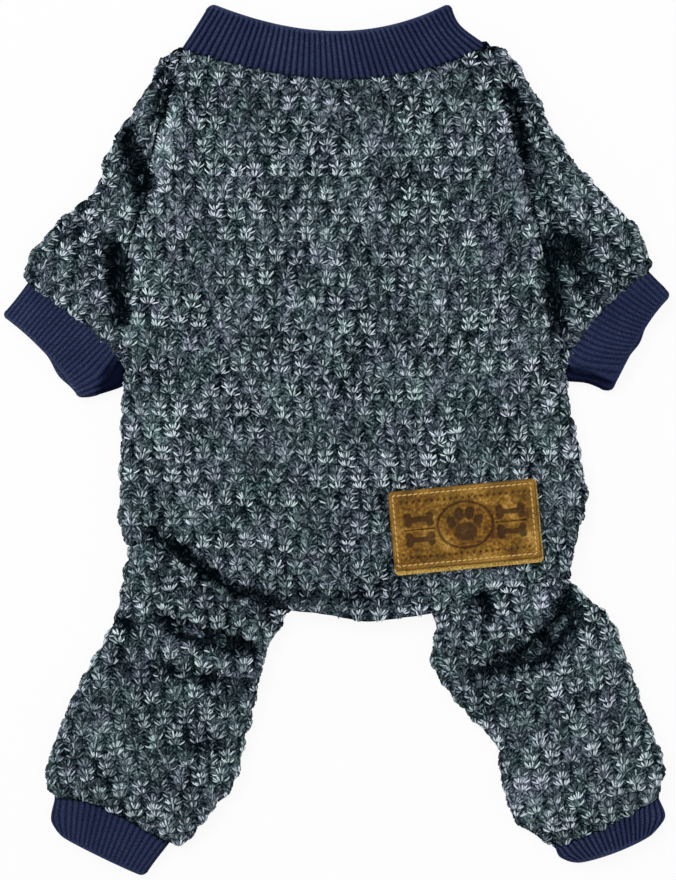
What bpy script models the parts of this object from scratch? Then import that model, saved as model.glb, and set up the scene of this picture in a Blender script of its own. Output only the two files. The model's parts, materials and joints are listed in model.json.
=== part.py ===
"""Dog pajamas in a chunky knit, laid flat on their belly panel with the neck towards +Y.

Metres, +Z up. The surface that the garment lies on is z = 0, and the origin is under the
middle of its outline. Tables are in millimetres, seen from above: left is the wearer's left.
Each piece of cloth is a wall that runs round sections worked out from those tables: a tube
has folded sides, a sleeve is folded at its outer side and cut at its raglan seams, and the
back panel wraps round both flanks to meet the belly panel underneath.
"""

import math
from typing import NamedTuple

import bpy
import numpy as np

MM = 0.001

KNIT_WALL = 3.0
RIB_WALL = 2.0
THINNEST = 0.9  # how thin a trough may press a wall, as a share of its thickness
SEAM_GAP = 0.4
INNER_CLEARANCE = 0.6
MOST_INNER_GAP = 3.9
KNIT_EDGE = 8.0
KNIT_CROWN = 9.6
RIB_EDGE = 5.5
RIB_CROWN = 6.3
NECK_BOW = -14.0
NECK_SKEW = 0.2

# Places down a piece, in rows of its table.
ARMPIT = 7
HIP = 12
NECK_GAP = 0.008
TAIL_GAP = 0.012
BELLY_HEM_SETBACK = 0.4
ARMPIT_STEP = 0.1
BELLY_ARMPIT_STEP = 0.15
NECK_REACH = 4
TAIL_REACH = 5
SLEEVE_NECK_GAP = 0.02
SLEEVE_CUFF_GAP = 0.03
LEG_HIP_GAP = 0.05
LEG_HIP_REACH = 3

PATCH_SIZE = (62.5, 35.2)
PATCH_CENTRE = (53.8, -36.6)
PATCH_TURN = math.radians(5.4)
PATCH_THICKNESS = 2.0
PATCH_CORNER = 3.0
PATCH_SEAT = 9.2
PATCH_MARGIN = 7.0

# How finely the cloth is divided.
ROLL_STEPS = 4
RAGLAN_ROWS = 11
FLANK_ROWS = 9
LEG_ROWS = 15
RIB_ROWS = 3
HIP_COLUMNS = 11
HEM_COLUMNS = 8
BELLY_COLUMNS = 10
SLEEVE_COLUMNS = 9
SLEEVE_UNDER_COLUMNS = 3
LEG_UNDER_COLUMNS = 4
CURVE_STEPS = 8
CORNER_STEPS = 4
SHARP_ANGLE = math.radians(50)


class Seam(NamedTuple):
    """How deep a seam draws the cloth down beside it, and how wide."""

    depth: float
    width: float

    def dip(self, away):
        """The height of the cloth at a distance from the seam."""
        return -self.depth * math.exp(-((away / self.width) ** 2))


NECK_SEAM = Seam(1.2, 4.0)
TAIL_SEAM = Seam(1.1, 3.0)
RAGLAN_SEAM = Seam(1.6, 2.5)
SLEEVE_SEAM = Seam(1.4, 4.0)
CUFF_SEAM = Seam(0.8, 3.0)
HIP_SEAM = Seam(1.6, 4.0)


class Section(NamedTuple):
    """One section across a piece: its two ends, how far its middle bows, and its heights.

    skew moves the bow towards the right end, or towards the left where it is negative.
    """

    left_x: float
    left_y: float
    right_x: float
    right_y: float
    bow: float = 0.0
    edge: float = KNIT_EDGE
    crown: float = KNIT_CROWN
    skew: float = 0.0


class Fold(NamedTuple):
    """A soft ridge, or a trough where its rise is negative, along a straight line."""

    from_x: float
    from_y: float
    to_x: float
    to_y: float
    rise: float
    width: float


BODY = (
    Section(-65.2, 164.3, 62.6, 165.8, NECK_BOW, skew=NECK_SKEW),
    Section(-70.1, 147.6, 70.1, 151.0),
    Section(-75.2, 132.1, 75.6, 132.5),
    Section(-79.0, 115.3, 79.0, 114.0),
    Section(-82.7, 97.6, 83.6, 95.5),
    Section(-87.8, 80.4, 87.4, 77.5),
    Section(-90.3, 59.4, 90.7, 56.5),
    Section(-90.6, 33.0, 96.8, 30.5),
    Section(-91.1, 12.4, 98.9, 12.4),
    Section(-91.7, -6.0, 103.0, -6.5),
    Section(-92.0, -25.4, 105.5, -24.6),
    Section(-91.9, -36.5, 101.3, -42.0),
    Section(-88.0, -45.0, 98.3, -58.2),
)

HIP_SEAM_LEFT = ((-88.0, -45.0), (-79.0, -42.6), (-70.0, -43.8), (-61.5, -49.0), (-53.0, -56.0),
                 (-43.0, -62.8), (-32.0, -68.4), (-19.3, -71.4))
TAIL_HEM = ((-19.3, -71.4), (-7.0, -72.6), (3.4, -74.5), (12.6, -76.0), (24.4, -74.8), (39.1, -72.8))
HIP_SEAM_RIGHT = ((39.1, -72.8), (51.7, -66.8), (64.3, -63.2), (80.0, -60.2), (98.3, -58.2))

LEG_LEFT = (
    Section(-88.0, -45.0, -19.3, -71.4),
    Section(-90.3, -56.9, -23.3, -79.5),
    Section(-92.6, -69.5, -27.6, -86.2),
    Section(-98.0, -83.5, -31.0, -98.0),
    Section(-106.0, -97.0, -33.2, -108.0),
    Section(-113.6, -111.5, -35.9, -120.0),
    Section(-118.9, -125.4, -38.9, -130.5),
    Section(-123.1, -138.0, -41.2, -142.5),
    Section(-122.6, -146.5, -51.0, -155.5, 2.0),
    Section(-119.2, -150.6, -64.0, -170.6, 3.0, 6.8, 7.6, -1.4),
)

LEG_RIGHT = (
    Section(39.1, -72.8, 98.3, -58.2),
    Section(40.8, -79.0, 105.6, -65.6),
    Section(39.0, -88.0, 113.6, -72.8),
    Section(39.9, -96.5, 119.3, -83.0),
    Section(46.0, -106.0, 124.0, -97.0),
    Section(55.5, -117.0, 128.6, -110.5),
    Section(66.5, -129.5, 134.0, -124.0),
    Section(68.4, -143.0, 138.0, -136.5),
    Section(74.5, -160.5, 137.4, -143.5, -1.0),
    Section(90.6, -171.2, 135.5, -149.8, -1.5, 6.8, 7.6),
)


class SleeveSection(NamedTuple):
    """Where a sleeve's row leaves the raglan seam, in rows of BODY, and where it folds."""

    seam: float
    fold_x: float
    fold_y: float
    edge: float = KNIT_EDGE
    crown: float = KNIT_CROWN
    bow: float = 0.0


SLEEVE_LEFT = (
    SleeveSection(0.0, -74.3, 160.0, 6.8, 7.0),
    SleeveSection(0.6, -80.3, 148.2, 7.6, 8.6),
    SleeveSection(1.3, -90.3, 132.1),
    SleeveSection(2.0, -97.4, 119.5),
    SleeveSection(2.8, -100.4, 106.9),
    SleeveSection(3.3, -105.8, 100.4),
    SleeveSection(3.9, -114.7, 94.3),
    SleeveSection(4.7, -123.5, 85.5),
    SleeveSection(5.6, -130.2, 75.6),
    SleeveSection(6.3, -132.4, 69.8, 7.6, 8.6, -0.5),
    SleeveSection(7.0, -130.6, 65.5, 6.8, 7.4, -1.0),
)

SLEEVE_RIGHT = (
    SleeveSection(0.0, 71.2, 164.3, 6.8, 7.0),
    SleeveSection(0.5, 78.0, 155.5, 7.6, 8.6),
    SleeveSection(1.1, 84.5, 144.5),
    SleeveSection(1.8, 91.6, 130.0),
    SleeveSection(2.4, 98.7, 119.5),
    SleeveSection(3.1, 109.2, 106.9),
    SleeveSection(3.7, 117.5, 98.9),
    SleeveSection(4.4, 125.5, 91.0),
    SleeveSection(5.1, 130.2, 81.4),
    SleeveSection(6.0, 133.1, 74.8, 7.6, 8.6, 1.8),
    SleeveSection(7.0, 131.7, 70.4, 6.8, 7.4, 4.6),
)

CUFF_FRONT_LEFT = (
    Section(-130.7, 65.0, -91.3, 33.0, 1.0, RIB_EDGE, RIB_CROWN),
    Section(-134.4, 60.0, -91.5, 24.2, 1.2, RIB_EDGE, RIB_CROWN),
    Section(-137.3, 56.4, -98.8, 20.4, 1.6, RIB_EDGE, RIB_CROWN),
    Section(-140.0, 52.9, -107.2, 16.8, 2.6, RIB_EDGE, RIB_CROWN),
)

CUFF_FRONT_RIGHT = (
    Section(97.7, 29.6, 131.9, 69.9, 4.4, RIB_EDGE, RIB_CROWN),
    Section(98.3, 24.6, 134.7, 67.0, 3.4, RIB_EDGE, RIB_CROWN),
    Section(106.5, 23.0, 137.6, 64.2, 2.6, RIB_EDGE, RIB_CROWN),
    Section(113.9, 19.8, 140.0, 61.2, 1.8, RIB_EDGE, RIB_CROWN, 0.8),
)

CUFF_REAR_LEFT = (
    Section(-118.8, -151.0, -71.8, -169.8, 3.5, RIB_EDGE, RIB_CROWN, -0.3),
    Section(-120.4, -159.5, -75.4, -176.9, 1.2, RIB_EDGE, RIB_CROWN),
    Section(-117.6, -165.0, -80.3, -182.7, -0.4, RIB_EDGE, RIB_CROWN),
)

CUFF_REAR_RIGHT = (
    Section(91.6, -171.9, 135.4, -150.6, -1.5, RIB_EDGE, RIB_CROWN),
    Section(93.5, -175.6, 138.2, -158.2, -1.2, RIB_EDGE, RIB_CROWN),
    Section(98.9, -177.9, 134.2, -164.4, -1.4, RIB_EDGE, RIB_CROWN),
)

COLLAR = (
    Section(-65.2, 164.6, 62.6, 166.1, NECK_BOW, RIB_EDGE, RIB_CROWN, NECK_SKEW),
    Section(-60.2, 172.3, 51.9, 174.2, -12.6, RIB_EDGE, RIB_CROWN, 0.15),
    Section(-53.8, 182.7, 47.8, 182.7, -12.0, RIB_EDGE, RIB_CROWN, 0.12),
)


class RibPiece(NamedTuple):
    """A ribbed piece: its sections, its columns on top, and how its lower layer slips out.

    slip is how many rows that layer shows beyond the upper one, most at the share slip_at and
    less within slip_width of it.
    """

    name: str
    table: tuple
    columns: int
    slip: float = 0.0
    slip_at: float = 0.5
    slip_width: float = 0.13


RIB_PIECES = (
    RibPiece("collar", COLLAR, 16),
    RibPiece("cuff_front_left", CUFF_FRONT_LEFT, 8, 0.75, 0.82),
    RibPiece("cuff_front_right", CUFF_FRONT_RIGHT, 8, 0.3, 0.3),
    RibPiece("cuff_rear_left", CUFF_REAR_LEFT, 7),
    RibPiece("cuff_rear_right", CUFF_REAR_RIGHT, 7),
)

FOLDS = (
    Fold(-88.0, 128.0, -86.0, 104.0, -2.0, 6.0),
    Fold(-94.0, 78.0, -94.0, 48.0, -2.2, 7.0),
    Fold(-96.0, 118.0, -119.0, 72.0, 1.8, 11.0),
    Fold(80.0, 142.0, 86.0, 112.0, -2.0, 6.0),
    Fold(94.0, 84.0, 99.0, 46.0, -2.4, 8.0),
    Fold(94.0, 122.0, 121.0, 80.0, 1.8, 11.0),
    Fold(-82.0, -53.0, -60.0, -60.0, 1.6, 6.0),
    Fold(-58.0, -64.0, -36.0, -74.0, 2.2, 6.0),
    Fold(-71.0, -84.0, -40.0, -78.5, -2.2, 5.0),
    Fold(-88.0, -98.0, -52.0, -92.0, 1.2, 8.0),
    Fold(-110.0, -142.0, -62.0, -160.0, 1.6, 7.0),
    Fold(47.0, -72.0, 92.0, -66.0, 3.0, 7.0),
    Fold(103.0, -70.0, 84.0, -82.0, -2.6, 5.5),
    Fold(84.0, -82.0, 62.0, -89.0, -2.4, 5.5),
    Fold(60.0, -98.0, 112.0, -92.0, 1.6, 8.0),
    Fold(76.0, -132.0, 120.0, -120.0, 0.9, 10.0),
    Fold(86.0, -160.0, 128.0, -142.0, 1.6, 7.0),
    Fold(78.0, -20.0, 99.0, -36.0, 0.9, 12.0),
    Fold(-80.0, -30.0, -60.0, 10.0, 0.6, 14.0),
    Fold(-16.0, -64.5, 36.0, -66.0, -0.7, 2.5),
)


class Finish(NamedTuple):
    """A material's name, colour and roughness."""

    name: str
    colour: tuple
    roughness: float


KNIT = Finish("knit", (0.075, 0.092, 0.098), 0.95)
RIB = Finish("rib", (0.015, 0.02, 0.05), 0.9)
LEATHER = Finish("leather", (0.28, 0.15, 0.035), 0.6)


# Curves and sections.


def spline(values, at):
    """Reads a Catmull-Rom curve through rows of values at a place counted in rows."""
    table = np.asarray(values, float)
    last = len(table) - 1
    start = min(int(max(at, 0.0)), last - 1)
    share = at - start
    before = table[start - 1] if start else 2 * table[0] - table[1]
    after = table[start + 2] if start + 2 <= last else 2 * table[last] - table[last - 1]
    one, two = table[start], table[start + 1]
    return (one + 0.5 * share * (two - before
            + share * (2 * before - 5 * one + 4 * two - after
            + share * (3 * (one - two) + after - before))))


def curve_at(points, share):
    """The point at a share of a smooth curve's length."""
    steps = CURVE_STEPS * (len(points) - 1)
    fine = np.array([spline(points, step / CURVE_STEPS) for step in range(steps + 1)])
    run = np.concatenate([[0.0], np.cumsum(np.linalg.norm(np.diff(fine, axis=0), axis=1))])
    return np.array([np.interp(share * run[-1], run, fine[:, axis]) for axis in range(2)])


def bowed(left, right, share, bow, skew=0.0):
    """A point along the line from left to right, whose middle stands off towards the neck."""
    line = right - left
    normal = np.array([-line[1], line[0]]) / np.linalg.norm(line)
    lean = 2 * share - 1
    return left + line * share + normal * bow * (1 - lean**2) * (1 + skew * lean)


def fold_rise(x, y):
    """How far the folds together lift the cloth at a place."""
    total = 0.0
    for fold in FOLDS:
        start = np.array([fold.from_x, fold.from_y])
        line = np.array([fold.to_x, fold.to_y]) - start
        along = np.clip(np.dot([x - start[0], y - start[1]], line) / np.dot(line, line), 0, 1)
        away = np.linalg.norm(start + along * line - [x, y])
        total += fold.rise * math.exp(-((away / fold.width) ** 2))
    return total


# Walls. A column is (kind, share); a kind is top, bottom, left or right, and the share of a
# side column is the angle round its fold, from underneath at -90 degrees to the top at 90.


def side_columns(kind):
    """The columns round a fold, up to the top at the left and down from it at the right."""
    angles = np.linspace(-90, 90, ROLL_STEPS + 1)
    return [(kind, math.radians(angle)) for angle in (angles if kind == "left" else angles[::-1])]


def flat_columns(kind, count):
    """The columns of a layer, from the left on top and from the right underneath."""
    shares = np.arange(1, count) / count
    return [(kind, share) for share in (shares if kind == "top" else shares[::-1])]


class WallPoint(NamedTuple):
    """A column's outer and inner point in a section: distance from its left end, and height."""

    outer_at: float
    outer_z: float
    inner_at: float
    inner_z: float
    lift: float


def wall_point(column, width, edge, wall, cut_left=False, cut_right=False):
    """Where a column lies in a section of this width whose folded sides are this high."""
    kind, share = column
    radius = edge / 2
    inner = radius - wall
    if kind in ("top", "bottom"):
        low = SEAM_GAP / 2 if cut_left else radius
        high = width - (SEAM_GAP / 2 if cut_right else radius)
        at = low + (high - low) * share
        if kind == "top":
            return WallPoint(at, edge, at, edge - wall, 1.0)
        return WallPoint(at, 0.0, at, wall, 0.0)
    cut = cut_left if kind == "left" else cut_right
    reach = math.cos(share)
    outer_at = SEAM_GAP / 2 if cut else radius - radius * reach
    inner_at = SEAM_GAP / 2 if cut else radius - inner * reach
    if kind == "right":
        outer_at, inner_at = width - outer_at, width - inner_at
    height = math.sin(share)
    return WallPoint(outer_at, radius + radius * height, inner_at, radius + inner * height,
                     max(0.0, height))


def raised(point, rise, edge, wall):
    """A wall point's two heights once the cloth there is lifted, or let down, by rise."""
    lowest = 2 * wall + INNER_CLEARANCE - edge
    outer = max(rise, lowest - (1 - THINNEST) * wall)
    inner = min(max(rise, lowest), wall + MOST_INNER_GAP - (edge - wall))
    return point.outer_z + point.lift * outer, point.inner_z + point.lift * inner


def walled_object(name, outer, inner, closed, keep=None):
    """Makes a closed wall between two grids of points, open along its rows' ends.

    keep(row, column) says which cells are cloth.
    """
    rows, columns = outer.shape[:2]
    around = columns if closed else columns - 1
    faces = []
    for row in range(rows - 1):
        for column in range(around):
            if keep is None or keep(row, column):
                after = (column + 1) % columns
                faces.append((row * columns + column, (row + 1) * columns + column,
                              (row + 1) * columns + after, row * columns + after))
    edges = {(face[i], face[(i + 1) % 4]) for face in faces for i in range(4)}
    shift = rows * columns
    walls = [(b, a, a + shift, b + shift) for a, b in edges if (b, a) not in edges]
    faces += [tuple(corner + shift for corner in reversed(face)) for face in faces] + sorted(walls)
    points = np.concatenate([outer.reshape(-1, 3), inner.reshape(-1, 3)])
    used = sorted({corner for face in faces for corner in face})
    number = {corner: index for index, corner in enumerate(used)}
    faces = [tuple(number[corner] for corner in face) for face in faces]
    points = points[used] * MM
    volume = sum(np.dot(points[f[0]], np.cross(points[f[i]], points[f[i + 1]]))
                 for f in faces for i in (1, 2))
    if volume < 0:
        faces = [tuple(reversed(face)) for face in faces]
    mesh = bpy.data.meshes.new(name)
    mesh.from_pydata([tuple(point) for point in points], [], faces)
    mesh.update()
    mesh.shade_smooth()
    mesh.set_sharp_from_angle(angle=SHARP_ANGLE)
    made = bpy.data.objects.new(name, mesh)
    bpy.context.scene.collection.objects.link(made)
    return made


def walled_tube(name, place, heights, lift, rows, columns, wall, closed=True, cut_left=False,
                under=None):
    """Makes a piece from its sections.

    place(row, share) gives the point at a share of that section's width, heights(row) its edge
    height, lift(row, share, width, point) how far the cloth stands above that edge, and
    under(row, share) the row that the lower layer reaches where the upper one is at row.
    """
    grids = np.zeros((2, len(rows), len(columns), 3))
    for i, row in enumerate(rows):
        edge = heights(row)
        width = np.linalg.norm(place(row, 1.0) - place(row, 0.0))
        for j, column in enumerate(columns):
            point = wall_point(column, width, edge, wall, cut_left)
            share = point.outer_at / width
            reached = under(row, share) if under and column[0] == "bottom" else row
            outer = place(reached, share)
            inner = place(reached, point.inner_at / width)
            rise = lift(row, share, width, outer) if point.lift else 0.0
            outer_z, inner_z = raised(point, rise, edge, wall)
            grids[0, i, j] = (*outer, outer_z)
            grids[1, i, j] = (*inner, inner_z)
    return walled_object(name, grids[0], grids[1], closed)


def crowned(share, rise):
    """The height of a section's top over its edges, flat in the middle and steep at the sides."""
    return rise * (1 - (2 * share - 1) ** 4)


# The body.


def body_side(row, right=False):
    """A point of the body's outline at a row of BODY."""
    section = spline(BODY, row)
    return section[2:4] if right else section[:2]


TAIL_CURVES = (HIP_SEAM_LEFT, TAIL_HEM, HIP_SEAM_RIGHT)
TAIL_LENGTHS = [np.linalg.norm(np.diff(points, axis=0), axis=1).sum() for points in TAIL_CURVES]
TAIL_SHARES = np.concatenate([[0.0], np.cumsum(TAIL_LENGTHS) / sum(TAIL_LENGTHS)])


def tail_line(share):
    """The body's lower outline: left hip seam, tail hem, right hip seam."""
    number = min(int(np.searchsorted(TAIL_SHARES[1:], share)), len(TAIL_CURVES) - 1)
    start, end = TAIL_SHARES[number], TAIL_SHARES[number + 1]
    return curve_at(TAIL_CURVES[number], (share - start) / (end - start))


def body_place(row, share):
    """A point of the body's plan, counted in rows of BODY from the neck and across it."""
    left, right = body_side(row), body_side(row, True)
    point = left + (right - left) * share
    near_neck = max(0.0, 1 - row / NECK_REACH) ** 2
    near_tail = max(0.0, 1 - (HIP - row) / TAIL_REACH) ** 2
    ends = body_side(0), body_side(0, True)
    point = point + near_neck * (bowed(*ends, share, NECK_BOW, NECK_SKEW) - bowed(*ends, share, 0.0))
    ends = body_side(HIP), body_side(HIP, True)
    return point + near_tail * (tail_line(share) - bowed(*ends, share, 0.0))


def on_patch(x, y):
    """1 where the cloth lies flat under the patch, falling to 0 at a margin round it."""
    away = np.array([x, y]) - PATCH_CENTRE
    along = abs(away[0] * math.cos(PATCH_TURN) + away[1] * math.sin(PATCH_TURN))
    across = abs(away[1] * math.cos(PATCH_TURN) - away[0] * math.sin(PATCH_TURN))
    over = max(along - PATCH_SIZE[0] / 2, across - PATCH_SIZE[1] / 2)
    share = np.clip(over / PATCH_MARGIN - 1, 0.0, 1.0)
    return 1 - share * share * (3 - 2 * share)


def body_top(x, y):
    """The height of the back panel's outer face."""
    rows = np.array(BODY)
    left = np.interp(-y, -rows[:, 1], rows[:, 0])
    right = np.interp(-y, -rows[:, 3], rows[:, 2])
    share = np.clip((x - left) / (right - left), 0.0, 1.0)
    height = KNIT_EDGE + crowned(share, KNIT_CROWN - KNIT_EDGE) + fold_rise(x, y)
    flat = on_patch(x, y)
    return height * (1 - flat) + PATCH_SEAT * flat


def body_rows():
    """Rows down the body: along the raglan seams, a short step at the armpits, the flanks."""
    raglan = np.linspace(0.0, ARMPIT, RAGLAN_ROWS + 1)
    flank = np.linspace(ARMPIT + ARMPIT_STEP, HIP, FLANK_ROWS + 1)
    return np.concatenate([raglan, flank])


def trimmed(row):
    """The same row, a seam gap short of the body's two ends."""
    return min(max(row, NECK_GAP), HIP - TAIL_GAP)


def back_columns():
    """Shares across the back panel, level with the leg's columns along each hip seam."""
    shares = []
    for number, count in enumerate((HIP_COLUMNS, HEM_COLUMNS, HIP_COLUMNS)):
        start, end = TAIL_SHARES[number], TAIL_SHARES[number + 1]
        shares += [start + (end - start) * step / count for step in range(count)]
    return shares[1:]


def back_panel():
    """The top layer, with a flap round each flank that ends under the fold."""
    rows = body_rows()
    tops = back_columns()
    columns = side_columns("left") + [("top", share) for share in tops] + side_columns("right")
    grids = np.zeros((2, len(rows), len(columns), 3))
    for i, row in enumerate(rows):
        at_seam = i <= RAGLAN_ROWS
        width = np.linalg.norm(body_side(row, True) - body_side(row))
        for j, column in enumerate(columns):
            point = wall_point(column, width, KNIT_EDGE, KNIT_WALL, at_seam, at_seam)
            outer = body_place(trimmed(row), point.outer_at / width)
            inner = body_place(trimmed(row), point.inner_at / width)
            rise = 0.0
            if point.lift:
                rise = body_top(*outer) - KNIT_EDGE
                neck = np.linalg.norm(outer - body_place(0, point.outer_at / width))
                tail = np.linalg.norm(outer - body_place(HIP, point.outer_at / width))
                rise += NECK_SEAM.dip(neck) + TAIL_SEAM.dip(tail)
                away = min(point.outer_at, width - point.outer_at)
                rise += RAGLAN_SEAM.dip(away) * np.clip(ARMPIT + 1 - row, 0.0, 1.0)
            outer_z, inner_z = raised(point, rise, KNIT_EDGE, KNIT_WALL)
            grids[0, i, j] = (*outer, outer_z)
            grids[1, i, j] = (*inner, inner_z)
    first, last = ROLL_STEPS, len(columns) - 1 - ROLL_STEPS

    def cloth(row, column):
        return row > RAGLAN_ROWS or first <= column < last

    return walled_object("back_panel", grids[0], grids[1], False, cloth)


def belly_panel():
    """The layer underneath, flat on the surface, between the flaps of the back panel."""
    hem = HIP - BELLY_HEM_SETBACK
    rows = [row for row in body_rows() if row < ARMPIT] + [ARMPIT - BELLY_ARMPIT_STEP, ARMPIT]
    rows += [row for row in body_rows() if ARMPIT < row < hem] + [hem]
    shares = np.linspace(0.0, 1.0, BELLY_COLUMNS + 1)
    grids = np.zeros((2, len(rows), len(shares), 3))
    for i, row in enumerate(rows):
        width = np.linalg.norm(body_side(row, True) - body_side(row))
        inset = (SEAM_GAP / 2 if row < ARMPIT else KNIT_EDGE / 2 + SEAM_GAP) / width
        for j, share in enumerate(shares):
            point = body_place(trimmed(row), inset + (1 - 2 * inset) * share)
            grids[0, i, j] = (*point, KNIT_WALL)
            grids[1, i, j] = (*point, 0.0)
    return walled_object("belly_panel", grids[0], grids[1], False)


# Sleeves, legs, cuffs and collar.


def sleeve(name, table, right):
    """A sleeve folded at its outer side, its two layers cut along the raglan seams."""

    def place(row, share):
        section = spline(table, row)
        return bowed(body_side(section[0], right), section[1:3], share, section[5])

    def row_at(seam):
        return float(np.interp(seam, [section.seam for section in table], range(len(table))))

    def lift(row, share, width, point):
        section = spline(table, row)
        rise = (section[4] - section[3]) * (1 - share**4) + fold_rise(*point)
        cuff = np.linalg.norm(point - place(len(table) - 1, share))
        return rise + SLEEVE_SEAM.dip(share * width) + CUFF_SEAM.dip(cuff)

    rows = [row_at(seam) for seam in np.linspace(0.0, ARMPIT, RAGLAN_ROWS + 1)]
    rows[0] += SLEEVE_NECK_GAP
    rows[-1] -= SLEEVE_CUFF_GAP
    columns = [("top", 0.0)] + flat_columns("top", SLEEVE_COLUMNS) + side_columns("right")
    columns += flat_columns("bottom", SLEEVE_UNDER_COLUMNS) + [("bottom", 0.0)]
    return walled_tube(name, place, lambda row: spline(table, row)[3], lift, rows, columns,
                       KNIT_WALL, closed=False, cut_left=True)


def leg(name, table, hip_seam):
    """A rear leg: a flattened tube from its hip seam to its cuff."""

    def place(row, share):
        section = spline(table, row)
        point = bowed(section[:2], section[2:4], share, section[4], section[7])
        near_hip = max(0.0, 1 - row / LEG_HIP_REACH) ** 2
        chord = np.array(hip_seam[0]) + (np.array(hip_seam[-1]) - hip_seam[0]) * share
        return point + near_hip * (curve_at(hip_seam, share) - chord)

    def lift(row, share, width, point):
        section = spline(table, row)
        hip = np.linalg.norm(point - place(0, share))
        rise = crowned(share, section[6] - section[5]) + fold_rise(*point)
        return rise + HIP_SEAM.dip(hip)

    rows = np.linspace(LEG_HIP_GAP, len(table) - 1, LEG_ROWS + 1)
    columns = side_columns("left") + flat_columns("top", HIP_COLUMNS) + side_columns("right")
    columns += flat_columns("bottom", LEG_UNDER_COLUMNS)
    return walled_tube(name, place, lambda row: spline(table, row)[5], lift, rows, columns, KNIT_WALL)


def rib_tube(piece):
    """A cuff or the collar: a short flattened tube of rib."""
    last = len(piece.table) - 1

    def place(row, share):
        section = spline(piece.table, row)
        return bowed(section[:2], section[2:4], share, section[4], section[7])

    def lift(row, share, width, point):
        return crowned(share, RIB_CROWN - RIB_EDGE)

    def under(row, share):
        near = math.exp(-(((share - piece.slip_at) / piece.slip_width) ** 2))
        return row + piece.slip * (row / last) ** 2 * near

    columns = side_columns("left") + flat_columns("top", piece.columns) + side_columns("right")
    columns += flat_columns("bottom", piece.columns - 1)
    return walled_tube(piece.name, place, lambda row: RIB_EDGE, lift,
                       np.linspace(0, last, RIB_ROWS + 1), columns, RIB_WALL, under=under)


# The patch.


def rounded_outline(width, height, corner):
    """Points round a rectangle with round corners, centred on the origin."""
    points = []
    for quarter in range(4):
        middle_x = (width / 2 - corner) * (1 if quarter in (0, 3) else -1)
        middle_y = (height / 2 - corner) * (1 if quarter < 2 else -1)
        for step in range(CORNER_STEPS + 1):
            angle = math.radians(90 * (quarter + step / CORNER_STEPS))
            points.append((middle_x + corner * math.cos(angle), middle_y + corner * math.sin(angle)))
    return points


def patch():
    """A stitched leather patch, lying on the back panel's own points, moved out."""
    outline = []
    for x, y in rounded_outline(*PATCH_SIZE, PATCH_CORNER):
        outline.append((PATCH_CENTRE[0] + x * math.cos(PATCH_TURN) - y * math.sin(PATCH_TURN),
                        PATCH_CENTRE[1] + x * math.sin(PATCH_TURN) + y * math.cos(PATCH_TURN)))
    under = [(x, y, body_top(x, y) + SEAM_GAP) for x, y in outline]
    over = [(x, y, z + PATCH_THICKNESS) for x, y, z in under]
    count = len(outline)
    faces = [tuple(range(count, 2 * count)), tuple(reversed(range(count)))]
    faces += [(i, (i + 1) % count, (i + 1) % count + count, i + count) for i in range(count)]
    mesh = bpy.data.meshes.new("patch")
    mesh.from_pydata([tuple(MM * value for value in point) for point in under + over], [], faces)
    mesh.update()
    made = bpy.data.objects.new("patch", mesh)
    bpy.context.scene.collection.objects.link(made)
    return made


# Finishes.


def material(finish):
    """Makes a finish's material."""
    made = bpy.data.materials.new(finish.name)
    made.use_nodes = True
    shader = made.node_tree.nodes["Principled BSDF"]
    shader.inputs["Base Color"].default_value = (*finish.colour, 1.0)
    shader.inputs["Roughness"].default_value = finish.roughness
    shader.inputs["Metallic"].default_value = 0.0
    made.diffuse_color = (*finish.colour, 1.0)
    return made


def main():
    """Builds every piece with its finish."""
    for old in list(bpy.data.objects):
        bpy.data.objects.remove(old)
    dressed = {
        KNIT: [
            back_panel(),
            belly_panel(),
            sleeve("sleeve_left", SLEEVE_LEFT, False),
            sleeve("sleeve_right", SLEEVE_RIGHT, True),
            leg("leg_left", LEG_LEFT, HIP_SEAM_LEFT),
            leg("leg_right", LEG_RIGHT, HIP_SEAM_RIGHT),
        ],
        RIB: [rib_tube(piece) for piece in RIB_PIECES],
        LEATHER: [patch()],
    }
    for finish, pieces in dressed.items():
        cloth = material(finish)
        for piece in pieces:
            piece.data.materials.append(cloth)


main()
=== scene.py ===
"""Dog pajamas in a chunky marled knit, laid flat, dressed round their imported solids.

Tables and sizes are in millimetres, seen from above with the neck towards +Y, and MM turns
them into the scene's metres. Every piece of cloth is a grid of points worked out from its
sections. Each point also has its place in the flat cloth, which the knit's yarn follows.
"""

from __future__ import annotations

import json
import logging
import math
from abc import ABC, abstractmethod
from dataclasses import dataclass
from enum import Enum
from typing import Any, ClassVar, NamedTuple, Sequence, TypeVar

import bpy
import numpy as np
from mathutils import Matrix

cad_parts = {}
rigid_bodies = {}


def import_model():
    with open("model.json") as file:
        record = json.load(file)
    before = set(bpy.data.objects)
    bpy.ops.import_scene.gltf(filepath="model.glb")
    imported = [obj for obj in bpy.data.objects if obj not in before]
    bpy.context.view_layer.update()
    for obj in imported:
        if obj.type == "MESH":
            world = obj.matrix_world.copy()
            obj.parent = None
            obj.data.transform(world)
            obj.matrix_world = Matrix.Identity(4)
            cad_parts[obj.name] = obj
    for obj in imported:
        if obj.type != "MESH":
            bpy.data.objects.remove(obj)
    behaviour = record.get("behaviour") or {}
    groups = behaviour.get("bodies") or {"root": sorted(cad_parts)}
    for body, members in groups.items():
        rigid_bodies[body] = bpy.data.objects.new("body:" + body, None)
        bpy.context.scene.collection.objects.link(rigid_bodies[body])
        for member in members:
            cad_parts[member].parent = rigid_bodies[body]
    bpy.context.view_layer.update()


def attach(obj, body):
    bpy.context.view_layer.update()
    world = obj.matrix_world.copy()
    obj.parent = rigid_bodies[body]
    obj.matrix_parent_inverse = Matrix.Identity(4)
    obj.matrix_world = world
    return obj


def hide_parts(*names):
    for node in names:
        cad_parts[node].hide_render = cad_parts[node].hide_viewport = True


MM = 0.001
log = logging.getLogger("pajamas")

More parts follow.
